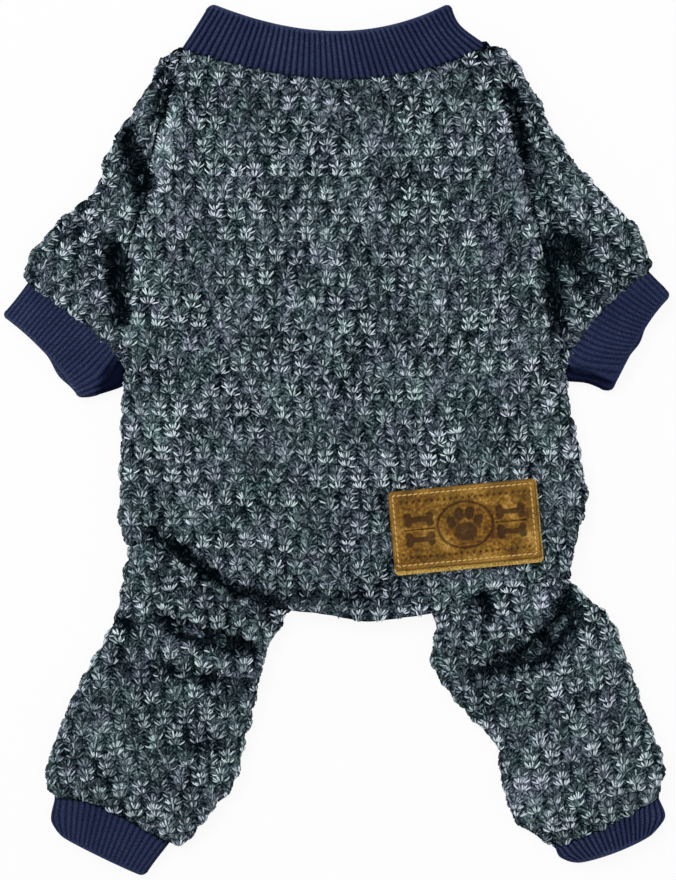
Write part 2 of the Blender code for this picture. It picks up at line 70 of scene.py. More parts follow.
Array = np.ndarray
Colour = tuple[float, float, float]
Stops = tuple[tuple[float, Colour], ...]
Point = tuple[float, float]
Cuts = tuple[Array | bool, Array | bool]


# Sizes that several pieces share. Heights are over the table, for both layers of a tube.

KNIT_EDGE = 8.0
KNIT_CROWN = 9.6
RIB_EDGE = 5.5
RIB_CROWN = 6.3
SEAM_GAP = 0.4
NECK_BOW = -14.0
NECK_SKEW = 0.2

# How an open edge of cloth ends: the cells round it, and how far it laps, tucks and meets.
FOLD_CELLS = 7
OVERLAP = 1.6
TUCK = 3.2
MEET = 0.55

# How deep the yarn lies on its ground, and how the ground fills out on a side.
YARN_DEPTH = 0.9
SIDE_FULLNESS = 0.9
SIDE_RELIEF = 0.7
SIDE_TAKES = 0.3
MOST_SUNK = 3.8

# How much painted shade darkens the knit in a trough of full depth, on its sides and in its seams.
FULL_TROUGH = 4.4
SIDE_PAINTED_SHADE = 0.22
SEAM_PAINTED_SHADE = 0.6
MOST_PAINTED_SHADE = 1.15

# Rows of BODY: where the seams meet it, where its pieces start and end short of them, and
# over how many rows the curves of its ends fade out.
ARMPIT = 7
HIP = 12
NECK_GAP = 0.05
ARMPIT_STEP = 0.1
SLEEVE_GAP = 0.02
BACK_GAP = 0.012
BELLY_GAP = 0.03
NECK_REACH = 4
TAIL_REACH = 5
LEG_REACH = 3


class Seam(NamedTuple):
    """A seam: how far it draws the cloth down, and how far to its sides."""

    depth: float
    width: float = 3.0

    def dip(self, away: Array) -> Array:
        """Says how far the seam draws the cloth down at a distance from it."""
        return -self.depth * np.exp(-((away / self.width) ** 2))


NECK_SEAM = Seam(1.2, 4.0)
TAIL_SEAM = Seam(0.7)
RAGLAN_SEAM = Seam(1.6, 2.5)
SLEEVE_SEAM = Seam(1.4, 4.0)
CUFF_SEAM = Seam(0.5)
HIP_SEAM = Seam(0.8, 4.0)


class Section(NamedTuple):
    """One section across a piece: its two ends, how far its middle bows, and its heights.

    Read between the rows of a table, it holds an array of each.
    """

    left_x: float
    left_y: float
    right_x: float
    right_y: float
    bow: float = 0.0
    skew: float = 0.0
    edge: float = KNIT_EDGE
    crown: float = KNIT_CROWN

    @property
    def left(self) -> Array:
        """The left end, x and y on the last axis."""
        return np.stack([self.left_x, self.left_y], -1)

    @property
    def right(self) -> Array:
        """The right end, x and y on the last axis."""
        return np.stack([self.right_x, self.right_y], -1)

    def straight(self, share: Array) -> Array:
        """Finds points on the straight line between the ends."""
        return self.left + (self.right - self.left) * share[..., None]

    def across(self, share: Array) -> Array:
        """Finds points on the section itself."""
        return bowed(self.left, self.right, share, self.bow, self.skew)


class SleeveSection(NamedTuple):
    """Where a sleeve's row leaves the raglan seam, in rows of BODY, and where it folds."""

    seam: float
    fold_x: float
    fold_y: float
    edge: float = KNIT_EDGE
    crown: float = KNIT_CROWN
    bow: float = 0.0


class Turn(NamedTuple):
    """A bowed line past which a cuff turns under, on the right seen along the line.

    It turns over its reach, drops as far as its drop, and its shade is painted shade there, on the side
    that turns under.
    """

    from_x: float
    from_y: float
    to_x: float
    to_y: float
    bow: float
    reach: float
    drop: float
    shade: float

    def amount(self, plan: Array) -> Array:
        """Says how far each plan place has turned under, from 0 to 1.

        Args:
            plan: The plan places.

        Returns:
            Their shares of the whole turn.
        """
        start, end = np.array(self[:2]), np.array(self[2:4])
        line = end - start
        share = ((plan - start) @ line) / (line @ line)
        right = ((plan - start) @ [line[1], -line[0]]) / np.linalg.norm(line)
        beyond = right + self.bow * (1 - (2 * np.clip(share, 0, 1) - 1) ** 2)
        return smooth(beyond / self.reach) * (1 - smooth((share - 0.9) / 0.6))


class Fold(NamedTuple):
    """A soft ridge, or a trough where its rise is negative, along a straight line.

    Its lean is how much gentler its left side is than its right, seen along the line.
    """

    from_x: float
    from_y: float
    to_x: float
    to_y: float
    rise: float
    width: float
    lean: float = 0.0

    def lift(self, x: Array, y: Array) -> Array:
        """Says how far the fold lifts the cloth at each place.

        Args:
            x: Places across.
            y: Places along.

        Returns:
            The rise.
        """
        run_x, run_y = self.to_x - self.from_x, self.to_y - self.from_y
        along = ((x - self.from_x) * run_x + (y - self.from_y) * run_y) / (run_x**2 + run_y**2)
        along = np.clip(along, 0, 1)
        away = np.hypot(self.from_x + along * run_x - x, self.from_y + along * run_y - y)
        left = (run_x * (y - self.from_y) - run_y * (x - self.from_x)) / math.hypot(run_x, run_y)
        width = self.width * (1 + self.lean * np.tanh(left))
        return self.rise * np.exp(-((away / width) ** 2))


# The garment's sections from the neck down or from their seam out, in millimetres.

BODY = tuple(Section(*row) for row in (
    (-65.2, 164.3, 62.6, 165.8, NECK_BOW, NECK_SKEW), (-70.1, 147.6, 70.1, 151),
    (-75.2, 132.1, 75.6, 132.5), (-79, 115.3, 79, 114), (-82.7, 97.6, 83.6, 95.5),
    (-87.8, 80.4, 87.4, 77.5), (-90.3, 59.4, 90.7, 56.5), (-90.6, 33, 96.8, 30.5),
    (-91.1, 12.4, 98.9, 12.4), (-91.7, -6, 103, -6.5), (-92, -25.4, 105.5, -24.6),
    (-91.9, -36.5, 101.3, -42), (-88, -45, 98.3, -58.2),
))

HIP_SEAM_LEFT = ((-88, -45), (-79, -42.6), (-70, -43.8), (-61.5, -49), (-53, -56),
                 (-43, -62.8), (-32, -68.4), (-19.3, -71.4))
TAIL_HEM = ((-19.3, -71.4), (-7, -72.6), (3.4, -74.5), (12.6, -76), (24.4, -74.8), (39.1, -72.8))
HIP_SEAM_RIGHT = ((39.1, -72.8), (51.7, -66.8), (64.3, -63.2), (80, -60.2), (98.3, -58.2))

LEG_LEFT = tuple(Section(*row) for row in (
    (-88, -45, -19.3, -71.4), (-90.3, -56.9, -23.3, -79.5), (-92.6, -69.5, -27.6, -86.2),
    (-98, -83.5, -31, -98), (-106, -97, -33.2, -108), (-113.6, -111.5, -35.9, -120),
    (-118.9, -125.4, -38.9, -130.5), (-123.1, -138, -41.2, -142.5), (-122.6, -146.5, -51, -155.5, 2),
    (-119.2, -150.6, -64, -170.6, 3, -1.4, 6.8, 7.6),
))

LEG_RIGHT = tuple(Section(*row) for row in (
    (39.1, -72.8, 98.3, -58.2), (40.8, -79, 105.6, -65.6), (39, -88, 113.6, -72.8),
    (39.9, -96.5, 119.3, -83), (46, -106, 124, -97), (55.5, -117, 128.6, -110.5),
    (66.5, -129.5, 134, -124), (68.4, -143, 138, -136.5), (74.5, -160.5, 137.4, -143.5, -1),
    (90.6, -171.2, 135.5, -149.8, -1.5, 0, 6.8, 7.6),
))

SLEEVE_LEFT = tuple(SleeveSection(*row) for row in (
    (0, -74.3, 160, 6.8, 7), (0.6, -80.3, 148.2, 7.6, 8.6), (1.3, -90.3, 132.1), (2, -97.4, 119.5),
    (2.8, -100.4, 106.9), (3.3, -105.8, 100.4), (3.9, -114.7, 94.3), (4.7, -123.5, 85.5),
    (5.6, -130.2, 75.6), (6.3, -132.4, 69.8, 7.6, 8.6, -0.5), (7, -130.6, 65.5, 6.8, 7.4, -1),
))

SLEEVE_RIGHT = tuple(SleeveSection(*row) for row in (
    (0, 71.2, 164.3, 6.8, 7), (0.5, 78, 155.5, 7.6, 8.6), (1.1, 84.5, 144.5), (1.8, 91.6, 130),
    (2.4, 98.7, 119.5), (3.1, 109.2, 106.9), (3.7, 117.5, 98.9), (4.4, 125.5, 91), (5.1, 130.2, 81.4),
    (6, 133.1, 74.8, 7.6, 8.6, 1.8), (7, 131.7, 70.4, 6.8, 7.4, 4.6),
))

CUFF_FRONT_LEFT = tuple(Section(*row) for row in (
    (-130.7, 65, -88.4, 33, 1), (-134.4, 60, -87.6, 27.4, 1.2), (-137.3, 56.4, -88.9, 22.6, 1.6),
    (-140.4, 52.9, -107, 16.6, 2.6),
))

CUFF_FRONT_RIGHT = tuple(Section(*row) for row in (
    (95, 29.4, 131.9, 69.9, 4.4), (94.6, 24.8, 134.7, 67, 3.4), (105, 23.5, 137.6, 64.2, 2.6),
    (113.9, 19.8, 140, 61.2, 1.8, 0.8),
))

CUFF_REAR_LEFT = tuple(Section(*row) for row in (
    (-118.8, -151, -71.4, -171, 3.5, -0.3), (-120.4, -159.5, -75.8, -176.6, 1.2),
    (-117.6, -165, -80.4, -183, -0.4),
))

CUFF_REAR_RIGHT = tuple(Section(*row) for row in (
    (91.6, -171.9, 135.4, -150.6, -1.5), (93.5, -175.6, 138.2, -158.2, -1.2),
    (98.9, -177.9, 134.2, -164.4, -1.4),
))

# The front cuffs turn under; the last number of each is painted shade on the turned-under side.
TURN_FRONT_LEFT = Turn(-103, 18, -94, 36, 2, 5.5, 1.6, 0.8)
TURN_FRONT_RIGHT = Turn(96, 31.3, 112.8, 25.6, 1, 1.1, 2.2, 0.46)
NO_TURN = Turn(0, 0, 1, 0, 0, 1, 0, 0)

COLLAR = tuple(Section(*row) for row in (
    (-65.2, 164.6, 62.6, 166.1, NECK_BOW, NECK_SKEW), (-60.2, 172.3, 51.9, 174.2, -12.6, 0.15),
    (-53.8, 182.7, 47.8, 182.7, -12, 0.12),
))

# Ridges and troughs of the upper layers.
FOLDS = tuple(Fold(*row) for row in (
    # Left sleeve: hollows beside the raglan seam and at the armpit, ridges round them.
    (-71.5, 148, -74.5, 137, -2.6, 3.8), (-88, 127, -81, 107, -4, 4.6),
    (-81.5, 108, -86, 90, -1.4, 4.5), (-94, 78, -89.8, 52, -3.8, 4.8), (-71, 131, -76, 98, 1.4, 5.5),
    (-81, 88, -84, 50, 1.2, 5.5), (-99, 116, -108, 92, 1.8, 8), (-120, 80, -104, 58, 1.6, 8),
    (-108, 88, -99, 84, -1.6, 5),
    # Right sleeve.
    (72, 146, 78, 124, -3.6, 4.2), (78, 124, 83, 104, -2, 4), (90, 96, 99, 79, -1.9, 5.5),
    (99, 79, 105, 67, -2.4, 7), (88.5, 82, 92.5, 48, -3.8, 4), (68, 134, 75, 102, 1.4, 5.5),
    (80, 86, 85, 48, 1.4, 5.5), (86, 124, 100, 104, 1.2, 6), (104, 100, 122, 84, 1.6, 7),
    (116, 66, 104, 48, 1.3, 6),
    # Left hip and leg: the back rolls over the seam's crease, and two more cross the leg.
    (-76, -38.5, -63, -47.5, -3.3, 2.9, -0.5), (-63, -47.5, -53, -55.2, -3.8, 2.9, -0.55),
    (-53, -55.2, -41, -62.6, -3.6, 2.8, -0.55), (-41, -62.6, -25, -68.2, -3.2, 2.8, -0.45),
    (-70, -35.5, -54, -48, 1.9, 5), (-54, -48, -38, -56.5, 1.5, 5), (-76, -56, -56, -68, 2.4, 6.5),
    (-56, -68, -34, -75, 2, 5.5), (-73, -74, -61, -79, -3.4, 3.6, -0.5),
    (-61, -79, -48.5, -83.2, -4.6, 3.8, -0.55), (-48.5, -83.2, -37, -86, -4.6, 3.7, -0.5),
    (-95, -74, -84, -79.5, -2.8, 4.2), (-62, -91, -36, -95.5, 2.2, 5),
    (-72, -95.5, -54, -99.5, -2.4, 4, -0.3), (-54, -99.5, -35, -101.5, -2, 3.6, -0.3),
    (-92, -95, -79, -102, -1.5, 5.5), (-70, -130, -46, -127, -1.3, 7), (-110, -142, -62, -160, 1.8, 7),
    # Right hip and leg: a roll of cloth over a deep crease, and a hollow by the hem.
    (96.5, -61, 87, -73, 2.6, 5.5), (87, -73, 74, -80.5, 3, 5.5), (74, -80.5, 52, -83.5, 2.8, 6),
    (94.2, -65.5, 90.8, -77.5, -5.4, 4.2, 0.55), (90.8, -77.5, 81.5, -87, -6, 4.8, 0.6),
    (81.5, -87, 67, -92.8, -4.6, 4.4, 0.55), (67, -92.8, 54, -99.5, -1.8, 4.4, 0.3),
    (60.6, -67, 63.4, -75, -3.7, 3.5), (106, -74, 120, -96, 1.5, 6), (62, -113, 84, -107, -1.4, 6),
    (78, -133, 120, -120, 0.9, 10), (86, -160, 128, -142, 1.8, 7),
    # The back: slight waves, and the line of the turned tail hem.
    (78, -20, 99, -36, 0.9, 12), (-80, -30, -60, 10, 0.6, 14), (-30, -64.8, 4, -66, -1.5, 2.4),
    (4, -66, 36, -67.6, -1.1, 2.4),
))

# Where painted shade makes the knit darker than its troughs make it, or where its yarn is paler: a rise
# here is a tone.
PAINTED_SHADE_AND_PALER_YARN = tuple(Fold(*row) for row in (
    # Paler, stretched yarn beside the raglan seams.
    (-68, 143, -76, 94, -0.30, 2.6), (-82, 78, -86, 46, -0.18, 2.6), (69, 146, 78, 98, -0.26, 2.6),
    (80.5, 86, 86, 48, -0.18, 2.6),
    # Painted shade in the hollows round the creases of the sleeves.
    (-88.5, 124, -82.5, 102, 0.22, 5), (-94.5, 78, -90, 50, 0.20, 4.5), (94, 84, 103, 66, 0.08, 8),
    (90, 62, 94.5, 38, 0.15, 3.2), (72.5, 146, 80, 118, 0.10, 5),
    # Painted shade in the legs' darkest creases and rolls.
    (93, -72, 83, -86, 0.20, 4.5), (90, -91, 98, -96, 0.24, 4.5), (57, -76, 62, -80, 0.24, 4),
    (-73, -57, -63, -62, 0.26, 4), (-32, -73, -25, -77, 0.24, 4),
    # The right leg's yarn, a little paler all over.
    (84, -86, 108, -140, -0.09, 30),
))

# Slight waves of the layers that lie on the table.
UNDER_FOLDS = tuple(Fold(*row) for row in (
    (-70, 120, -40, 60, 1.5, 7), (52, 112, 66, 40, 1.3, 8), (-62, 10, 20, 24, 1, 6),
    (70, -8, 10, -40, 1.6, 6), (-66, -22, -20, -48, 1.8, 5), (-118, 84, -106, 58, 1.3, 5),
    (122, 84, 113, 60, 1.2, 5), (-80, -58, -46, -70, 1.5, 4), (-100, -112, -60, -118, 1.2, 6),
    (52, -79, 80, -73, 1.5, 4), (78, -124, 118, -112, 1.2, 7),
))


# Curves and heights.


def spline(table: Sequence[Sequence[float]], at: Array | float) -> Array:
    """Reads a Catmull-Rom curve through a table's rows.

    Args:
        table: Rows of values.
        at: Places along the curve, counted in rows.

    Returns:
        The values at each place, along the last axis.
    """
    rows = np.asarray(table, float)
    padded = np.vstack([2 * rows[0] - rows[1], rows, 2 * rows[-1] - rows[-2]])
    place = np.asarray(at, float)
    start = np.clip(np.floor(place).astype(int), 0, len(rows) - 2)
    share = (place - start)[..., None]
    before, one, two, after = (padded[start + step] for step in range(4))
    return one + 0.5 * share * (two - before
                                + share * (2 * before - 5 * one + 4 * two - after
                                           + share * (3 * (one - two) + after - before)))


Row = TypeVar("Row", Section, SleeveSection)


def at_row(table: Sequence[Row], row: Array | float) -> Row:
    """Reads a table at places between its rows, each field as an array."""
    return type(table[0])(*np.moveaxis(spline(table, row), -1, 0))


def run_along(points: Sequence[Point], share: Array) -> Array:
    """Finds points at shares of a smooth curve's length.

    Args:
        points: The points that the curve passes.
        share: Shares of its length, from 0 to 1.

    Returns:
        The plan points, x and y on the last axis.
    """
    fine = spline(points, np.linspace(0, len(points) - 1, 16 * len(points)))
    run = np.concatenate([[0.0], np.cumsum(np.linalg.norm(np.diff(fine, axis=0), axis=1))])
    return np.stack([np.interp(share * run[-1], run, fine[:, axis]) for axis in (0, 1)], -1)


def bowed(left: Array, right: Array, share: Array, bow: Array | float,
          skew: Array | float = 0.0) -> Array:
    """Finds points on a line whose middle stands off towards the neck.

    Args:
        left: The line's left ends.
        right: Its right ends.
        share: Shares of the line.
        bow: How far its middle stands off.
        skew: How far the bow moves to the right end, or to the left where negative.

    Returns:
        The plan points.
    """
    line = right - left
    normal = unit(np.stack([-line[..., 1], line[..., 0]], -1))
    lean = 2 * share - 1
    away = bow * (1 - lean**2) * (1 + skew * lean)
    return left + line * share[..., None] + normal * away[..., None]


def fold_rise(x: Array, y: Array, folds: Sequence[Fold] = FOLDS) -> Array:
    """Says how far folds together lift the cloth."""
    return sum((fold.lift(x, y) for fold in folds), np.zeros(np.broadcast(x, y).shape))


def under_rise(plan: Array) -> Array:
    """Says how far folds lift the layer that lies on the table."""
    return fold_rise(plan[..., 0], plan[..., 1], UNDER_FOLDS)


def hollow(cloth: Cloth) -> Array:
    """Says how much shade is painted on each place, from 1 deep in a trough or a seam to under 0 in a pale
    band.

    Args:
        cloth: The cloth.

    Returns:
        The painted shade of each of its points.
    """
    x, y = cloth.points[..., 0], cloth.points[..., 1]
    upward = cloth.normals()[..., 2]
    # Painted shade: troughs darkened as creases, steep sides darkened as by a contact shadow, seam rims
    # darkened as crevices.
    trough = smooth(-fold_rise(x, y) / FULL_TROUGH) + fold_rise(x, y, PAINTED_SHADE_AND_PALER_YARN)
    painted_side_shade = SIDE_PAINTED_SHADE * (1 - smooth(np.abs(upward) / 0.55))
    dark = trough * smooth(upward / 0.6 + 0.4) + painted_side_shade + SEAM_PAINTED_SHADE * (1 - cloth.inside)
    return np.minimum(dark, MOST_PAINTED_SHADE)


def crowned(share: Array, rise: Array | float) -> Array:
    """Gives the height of a section's top over its edges."""
    return rise * (1 - (2 * share - 1) ** 4)


def smooth(value: Array) -> Array:
    """Eases a value from 0 to 1, and holds it outside that."""
    held = np.clip(value, 0.0, 1.0)
    return held * held * (3 - 2 * held)


def unit(vectors: Array, least: float = 1e-9) -> Array:
    """Scales vectors to a length of 1, and less where they are shorter than the least."""
    return vectors / np.maximum(np.linalg.norm(vectors, axis=-1, keepdims=True), least)


def steepness(out: Array) -> Array:
    """Says how far each place stands on edge, from 0 where it faces up or down to 1."""
    return 1 - smooth((np.abs(out[..., 2]) - 0.35) / 0.4)


def quads(rows: int, columns: int, ring: bool = False, loop: bool = False) -> Array:
    """Lists the faces of a grid of points.

    Args:
        rows: Its rows.
        columns: Its columns.
        ring: Whether the last column meets the first.
        loop: Whether the last row meets the first.

    Returns:
        The four corners' numbers of each face.
    """
    number = np.arange(rows * columns).reshape(rows, columns)
    below = np.roll(number, -1, 0)
    faces = np.stack([number, below, np.roll(below, -1, 1), np.roll(number, -1, 1)], -1)
    return faces[:rows if loop else -1, :columns if ring else -1].reshape(-1, 4)


# Grids of cloth.


class Rim(Enum):
    """What an open edge of cloth does: turn down into its seam, or lap over it as yarn does."""

    TUCKED = "tucked"
    LAPPED = "lapped"


class Side(Enum):
    """Which part of a folded section a column lies on."""

    TOP = "top"
    BOTTOM = "bottom"
    LEFT = "left"
    RIGHT = "right"


@dataclass(frozen=True)
class Column:
    """One column of a piece's grid.

    Attributes:
        side: The part of the section that it lies on.
        share: Its share of that part from the left, or round a fold from underneath.
    """

    side: Side
    share: float

    def section(self, width: Array, edge: Array, cuts: Cuts,
                rim: Rim) -> tuple[Array, Array, Array, Array]:
        """Places the column in sections of a piece.

        Args:
            width: The sections' widths.
            edge: Their heights at the folds.
            cuts: Where they end in a cut instead of a fold, at their left and right.
            rim: What the cut edges do.

        Returns:
            The distance from the left end, the height, how much of the cloth's rise it takes,
            and the length of cloth round the fold since the top began.
        """
        radius = edge / 2
        nothing = np.zeros_like(width)
        if self.side in (Side.TOP, Side.BOTTOM):
            low, short = (np.where(cut, SEAM_GAP / 2, radius) for cut in cuts)
            at = low + (width - short - low) * self.share
            top = self.side is Side.TOP
            return at, edge + nothing if top else nothing, nothing + top, nothing
        angle = math.pi * (self.share - 0.5)
        cut = cuts[self.side is Side.RIGHT]
        past = 1 - self.share
        lapped = rim is Rim.LAPPED
        beyond = OVERLAP * past if lapped else MEET * min(1.0, past * FOLD_CELLS)
        sunk = 0.0 if lapped else TUCK * max(0.0, past - 1 / FOLD_CELLS)
        at = np.where(cut, SEAM_GAP / 2 - beyond, radius * (1 - math.cos(angle)))
        height = np.where(cut, edge - sunk, radius * (1 + math.sin(angle)))
        takes = np.where(cut, 1.0, max(0.0, math.sin(angle)))
        round_fold = np.where(cut, OVERLAP * past, radius * (math.pi / 2 - angle))
        return at if self.side is Side.LEFT else width - at, height, takes, round_fold


def columns_on(side: Side, count: int, ends: bool = False) -> list[Column]:
    """Lists columns in their order round a tube: over its top from the left, then back.

    Args:
        side: The part of the section.
        count: The cells on it.
        ends: Whether a top or bottom has columns at its ends too. Folds always do.

    Returns:
        The columns.
    """
    shares = np.linspace(0, 1, count + 1)
    if side in (Side.TOP, Side.BOTTOM) and not ends:
        shares = shares[1:-1]
    forward = side in (Side.TOP, Side.LEFT)
    return [Column(side, float(share)) for share in (shares if forward else shares[::-1])]


@dataclass(frozen=True)
class Knit:
    """The knit's sizes: fans of yarn in rows, each row half a fan aside from the last.

    Attributes:
        pitch: The distance between two fans of a row.
        height: The height of a row of fans.
        relief: How far a fan's middle stands over the hollows round it.
    """

    pitch: float = 8.6
    height: float = 9.25
    relief: float = 1.0

    def rise(self, flat: Array) -> Array:
        """Says how far the knit's hollows lie under its highest places.

        Args:
            flat: Places in the flat cloth.

        Returns:
            Heights from minus the relief to 0.
        """
        row = np.floor(flat[..., 1] / self.height)
        up = flat[..., 1] / self.height - row
        across = flat[..., 0] / self.pitch - 0.5 * (row % 2)
        bulge = 0.5 + 0.5 * np.cos(2 * math.pi * across)
        return self.relief * (bulge * np.sin(math.pi * up) - 1)


KNIT = Knit()


@dataclass(frozen=True)
class Grain:
    """How a piece's knit lies in its plan.

    Attributes:
        turn: How far its fans open to the right of +Y, in degrees, seen from above.
        underside: Whether the layer faces down.
    """

    turn: float = 0.0
    underside: bool = False
    shift: ClassVar[float] = 500.0

    def turned(self, x: Array, y: Array) -> Array:
        """Turns plan places or directions into the cloth's own.

        Args:
            x: Across.
            y: Along.

        Returns:
            The same in the cloth, on the last axis.
        """
        angle = math.radians(self.turn)
        across = x * math.cos(angle) - y * math.sin(angle)
        along = x * math.sin(angle) + y * math.cos(angle)
        return np.stack([-across if self.underside else across, along], -1)

    def flat(self, plan: Array) -> Array:
        """Gives the places in the flat cloth of plan places, with the knit's slight waves.

        Args:
            plan: Plan places, x and y on the last axis.

        Returns:
            The places in the flat cloth.
        """
        place = self.turned(plan[..., 0], plan[..., 1])
        across, along = place[..., 0], place[..., 1]
        wave = np.stack([1.3 * np.sin(along / 31 + 0.6) + 0.7 * np.sin(along / 13 + across / 47),
                         1.5 * np.sin(across / 37 + 1.1) + 0.6 * np.sin(across / 15 - along / 53)], -1)
        return place + wave + [self.shift if self.underside else 0.0, 0.0]


@dataclass
class Cloth:
    """A grid of points on a piece's outer face.

    Attributes:
        points: Rows of points, in millimetres.
        flat: Their places in the flat cloth.
        probe: The column that faces up, or down on an underside.
        ring: Whether the columns close into a tube.
        underside: Whether the probe faces down.
        inside: How far each point is cloth and not overlap, from 0 to 1.
    """

    points: Array
    flat: Array
    probe: int
    ring: bool = False
    underside: bool = False
    inside: Array | None = None

    def __post_init__(self) -> None:
        """Takes cloth that names no overlaps to have none."""
        if self.inside is None:
            self.inside = np.ones(self.points.shape[:2])

    def normals(self) -> Array:
        """Gives the outward direction at each point, straight up or down on the overlaps.

        Returns:
            A direction of length 1 for each point.
        """
        down = np.gradient(self.points, axis=0)
        if self.ring:
            across = (np.roll(self.points, -1, 1) - np.roll(self.points, 1, 1)) / 2
        else:
            across = np.gradient(self.points, axis=1)
        normal = unit(np.cross(down, across)) * self.hand()
        upright = [0.0, 0.0, -1.0 if self.underside else 1.0]
        return np.where(self.inside[..., None] < 0.99, upright, normal)

    def hand(self) -> int:
        """Says whether down crossed with across points out of the cloth, as 1 or -1.

        Returns:
            The sign of the cross product's outward side.
        """
        across = self.points[1:, self.probe + 1] - self.points[1:, self.probe]
        down = np.diff(self.points[:, self.probe], axis=0)
        up = bool(np.cross(down, across)[:, 2].sum() > 0)
        return 1 if up != self.underside else -1

    def raised(self, rise: Array) -> Cloth:
        """Moves every point out by its rise, straight up or down where the cloth lies flat.

        Args:
            rise: The distance for each point.

        Returns:
            The moved cloth.
        """
        out = self.normals()
        out[..., :2] *= steepness(out)[..., None]
        moved = self.points + unit(out) * rise[..., None]
        return Cloth(moved, self.flat, self.probe, self.ring, self.underside, self.inside)

    def rimmed(self, rim: Rim) -> Cloth:
        """Adds a rim at each open edge.

        Args:
            rim: What the edges do.

        Returns:
            The larger cloth, whose inside falls to 0 at the new rim.
        """
        place, spot, out, inside = slice(0, 3), slice(3, 5), slice(5, 8), 8
        whole = np.concatenate([self.points, self.flat, self.normals(), self.inside[..., None]], -1)
        for axis in (0,) if self.ring else (0, 1):
            starts, ends = [], []
            for first, second, rims in ((0, 1, starts), (-1, -2, ends)):
                end, inner = np.take(whole, [first], axis), np.take(whole, [second], axis)
                step = end - inner
                step /= np.maximum(np.linalg.norm(step[..., place], axis=-1, keepdims=True), 0.2)
                made = end.copy()
                for part in (place, spot):
                    made[..., part] += step[..., part] * (OVERLAP if rim is Rim.LAPPED else MEET)
                made[..., inside] = 0.0
                rims.append(made)
                if rim is Rim.TUCKED:
                    onward = unit(step[..., place] * [1, 1, 0])
                    down = end[..., out] - onward * (end[..., out] * onward).sum(-1, keepdims=True)
                    tucked = TUCK * (end[..., inside:] >= 0)
                    turned = made.copy()
                    turned[..., place] += onward * MEET / 2 - unit(down) * tucked
                    turned[..., spot] += step[..., spot] * TUCK
                    turned[..., 2] = np.maximum(turned[..., 2], 0.3)
                    turned[..., inside] = -1.0
                    rims.append(turned)
            whole = np.concatenate([*starts[::-1], whole, *ends], axis)
        probe = self.probe if self.ring else self.probe + len(starts)
        return Cloth(whole[..., place], whole[..., spot], probe, self.ring, self.underside,
                     np.maximum(whole[..., inside], 0.0))

    def faces(self, loop: bool = False) -> Array:
        """Lists the grid's quads, facing out, with a strip from its last row to its first if asked."""
        return quads(*self.points.shape[:2], self.ring, loop)[:, ::self.hand()]


def joined(layers: Sequence[Cloth], ring: bool) -> Cloth:
    """Joins a tube's upper and lower layers side by side, into a ring if they meet twice."""
    points, flat, inside = (np.concatenate([getattr(layer, name) for layer in layers], 1)
                            for name in ("points", "flat", "inside"))
    return Cloth(points, flat, layers[0].probe, ring, layers[0].underside, inside)


def link(name: str, data: bpy.types.ID) -> bpy.types.Object:
    """Makes an object of some data and links it to the scene.

    Args:
        name: The object's name.
        data: Its mesh, light or camera.

    Returns:
        The object.
    """
    made = bpy.data.objects.new(name, data)
    bpy.context.scene.collection.objects.link(made)
    return made


def make_object(name: str, points: Array, faces: Array,
                attributes: dict[str, Array]) -> bpy.types.Object:
    """Makes a smooth mesh object.

    Args:
        name: The object's name.
        points: Its points, in millimetres.
        faces: Its faces, each by its corners' numbers.
        attributes: Values for its points by name, each a number, or two or three numbers.

    Returns:
        The object, linked to the scene.
    """
    points = points.reshape(-1, 3)
    used, renumbered = np.unique(faces, return_inverse=True)
    mesh = bpy.data.meshes.new(name)
    mesh.from_pydata((points[used] * MM).tolist(), [], renumbered.reshape(faces.shape).tolist())
    for key, values in attributes.items():
        values = np.asarray(values, np.float32).reshape(len(points), -1)[used]
        if values.shape[1] == 1:
            mesh.attributes.new(key, "FLOAT", "POINT").data.foreach_set("value", values.ravel())
        else:
            values = np.pad(values, ((0, 0), (0, 3 - values.shape[1])))
            mesh.attributes.new(key, "FLOAT_VECTOR", "POINT").data.foreach_set("vector", values.ravel())
    mesh.shade_smooth()
    mesh.update()
    return link(name, mesh)


def settled(obj: bpy.types.Object) -> bpy.types.Object:
    """Turns an object's modifiers into plain mesh that nowhere dips under the table.

    Args:
        obj: The object.

    Returns:
        The same object, with no modifier left.
    """
    graph = bpy.context.evaluated_depsgraph_get()
    mesh = bpy.data.meshes.new_from_object(obj.evaluated_get(graph))
    obj.modifiers.clear()
    old, obj.data = obj.data, mesh
    mesh.name = obj.name
    bpy.data.meshes.remove(old)
    places = np.empty(3 * len(mesh.vertices))
    mesh.vertices.foreach_get("co", places)
    places[2::3] = np.maximum(places[2::3], 0.0)
    mesh.vertices.foreach_set("co", places)
    return obj


def triangles(obj: bpy.types.Object) -> int:
    """Counts an object's triangles."""
    return sum(len(face.vertices) - 2 for face in obj.data.polygons)


def hand_over(made: bpy.types.Object, node: str) -> None:
    """Gives a finished piece to the frame.

    Args:
        made: The piece.
        node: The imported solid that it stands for.
    """
    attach(made, "root")
    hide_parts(node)
    log.info("%s: %d triangles", made.name, triangles(made))


# Node graphs.


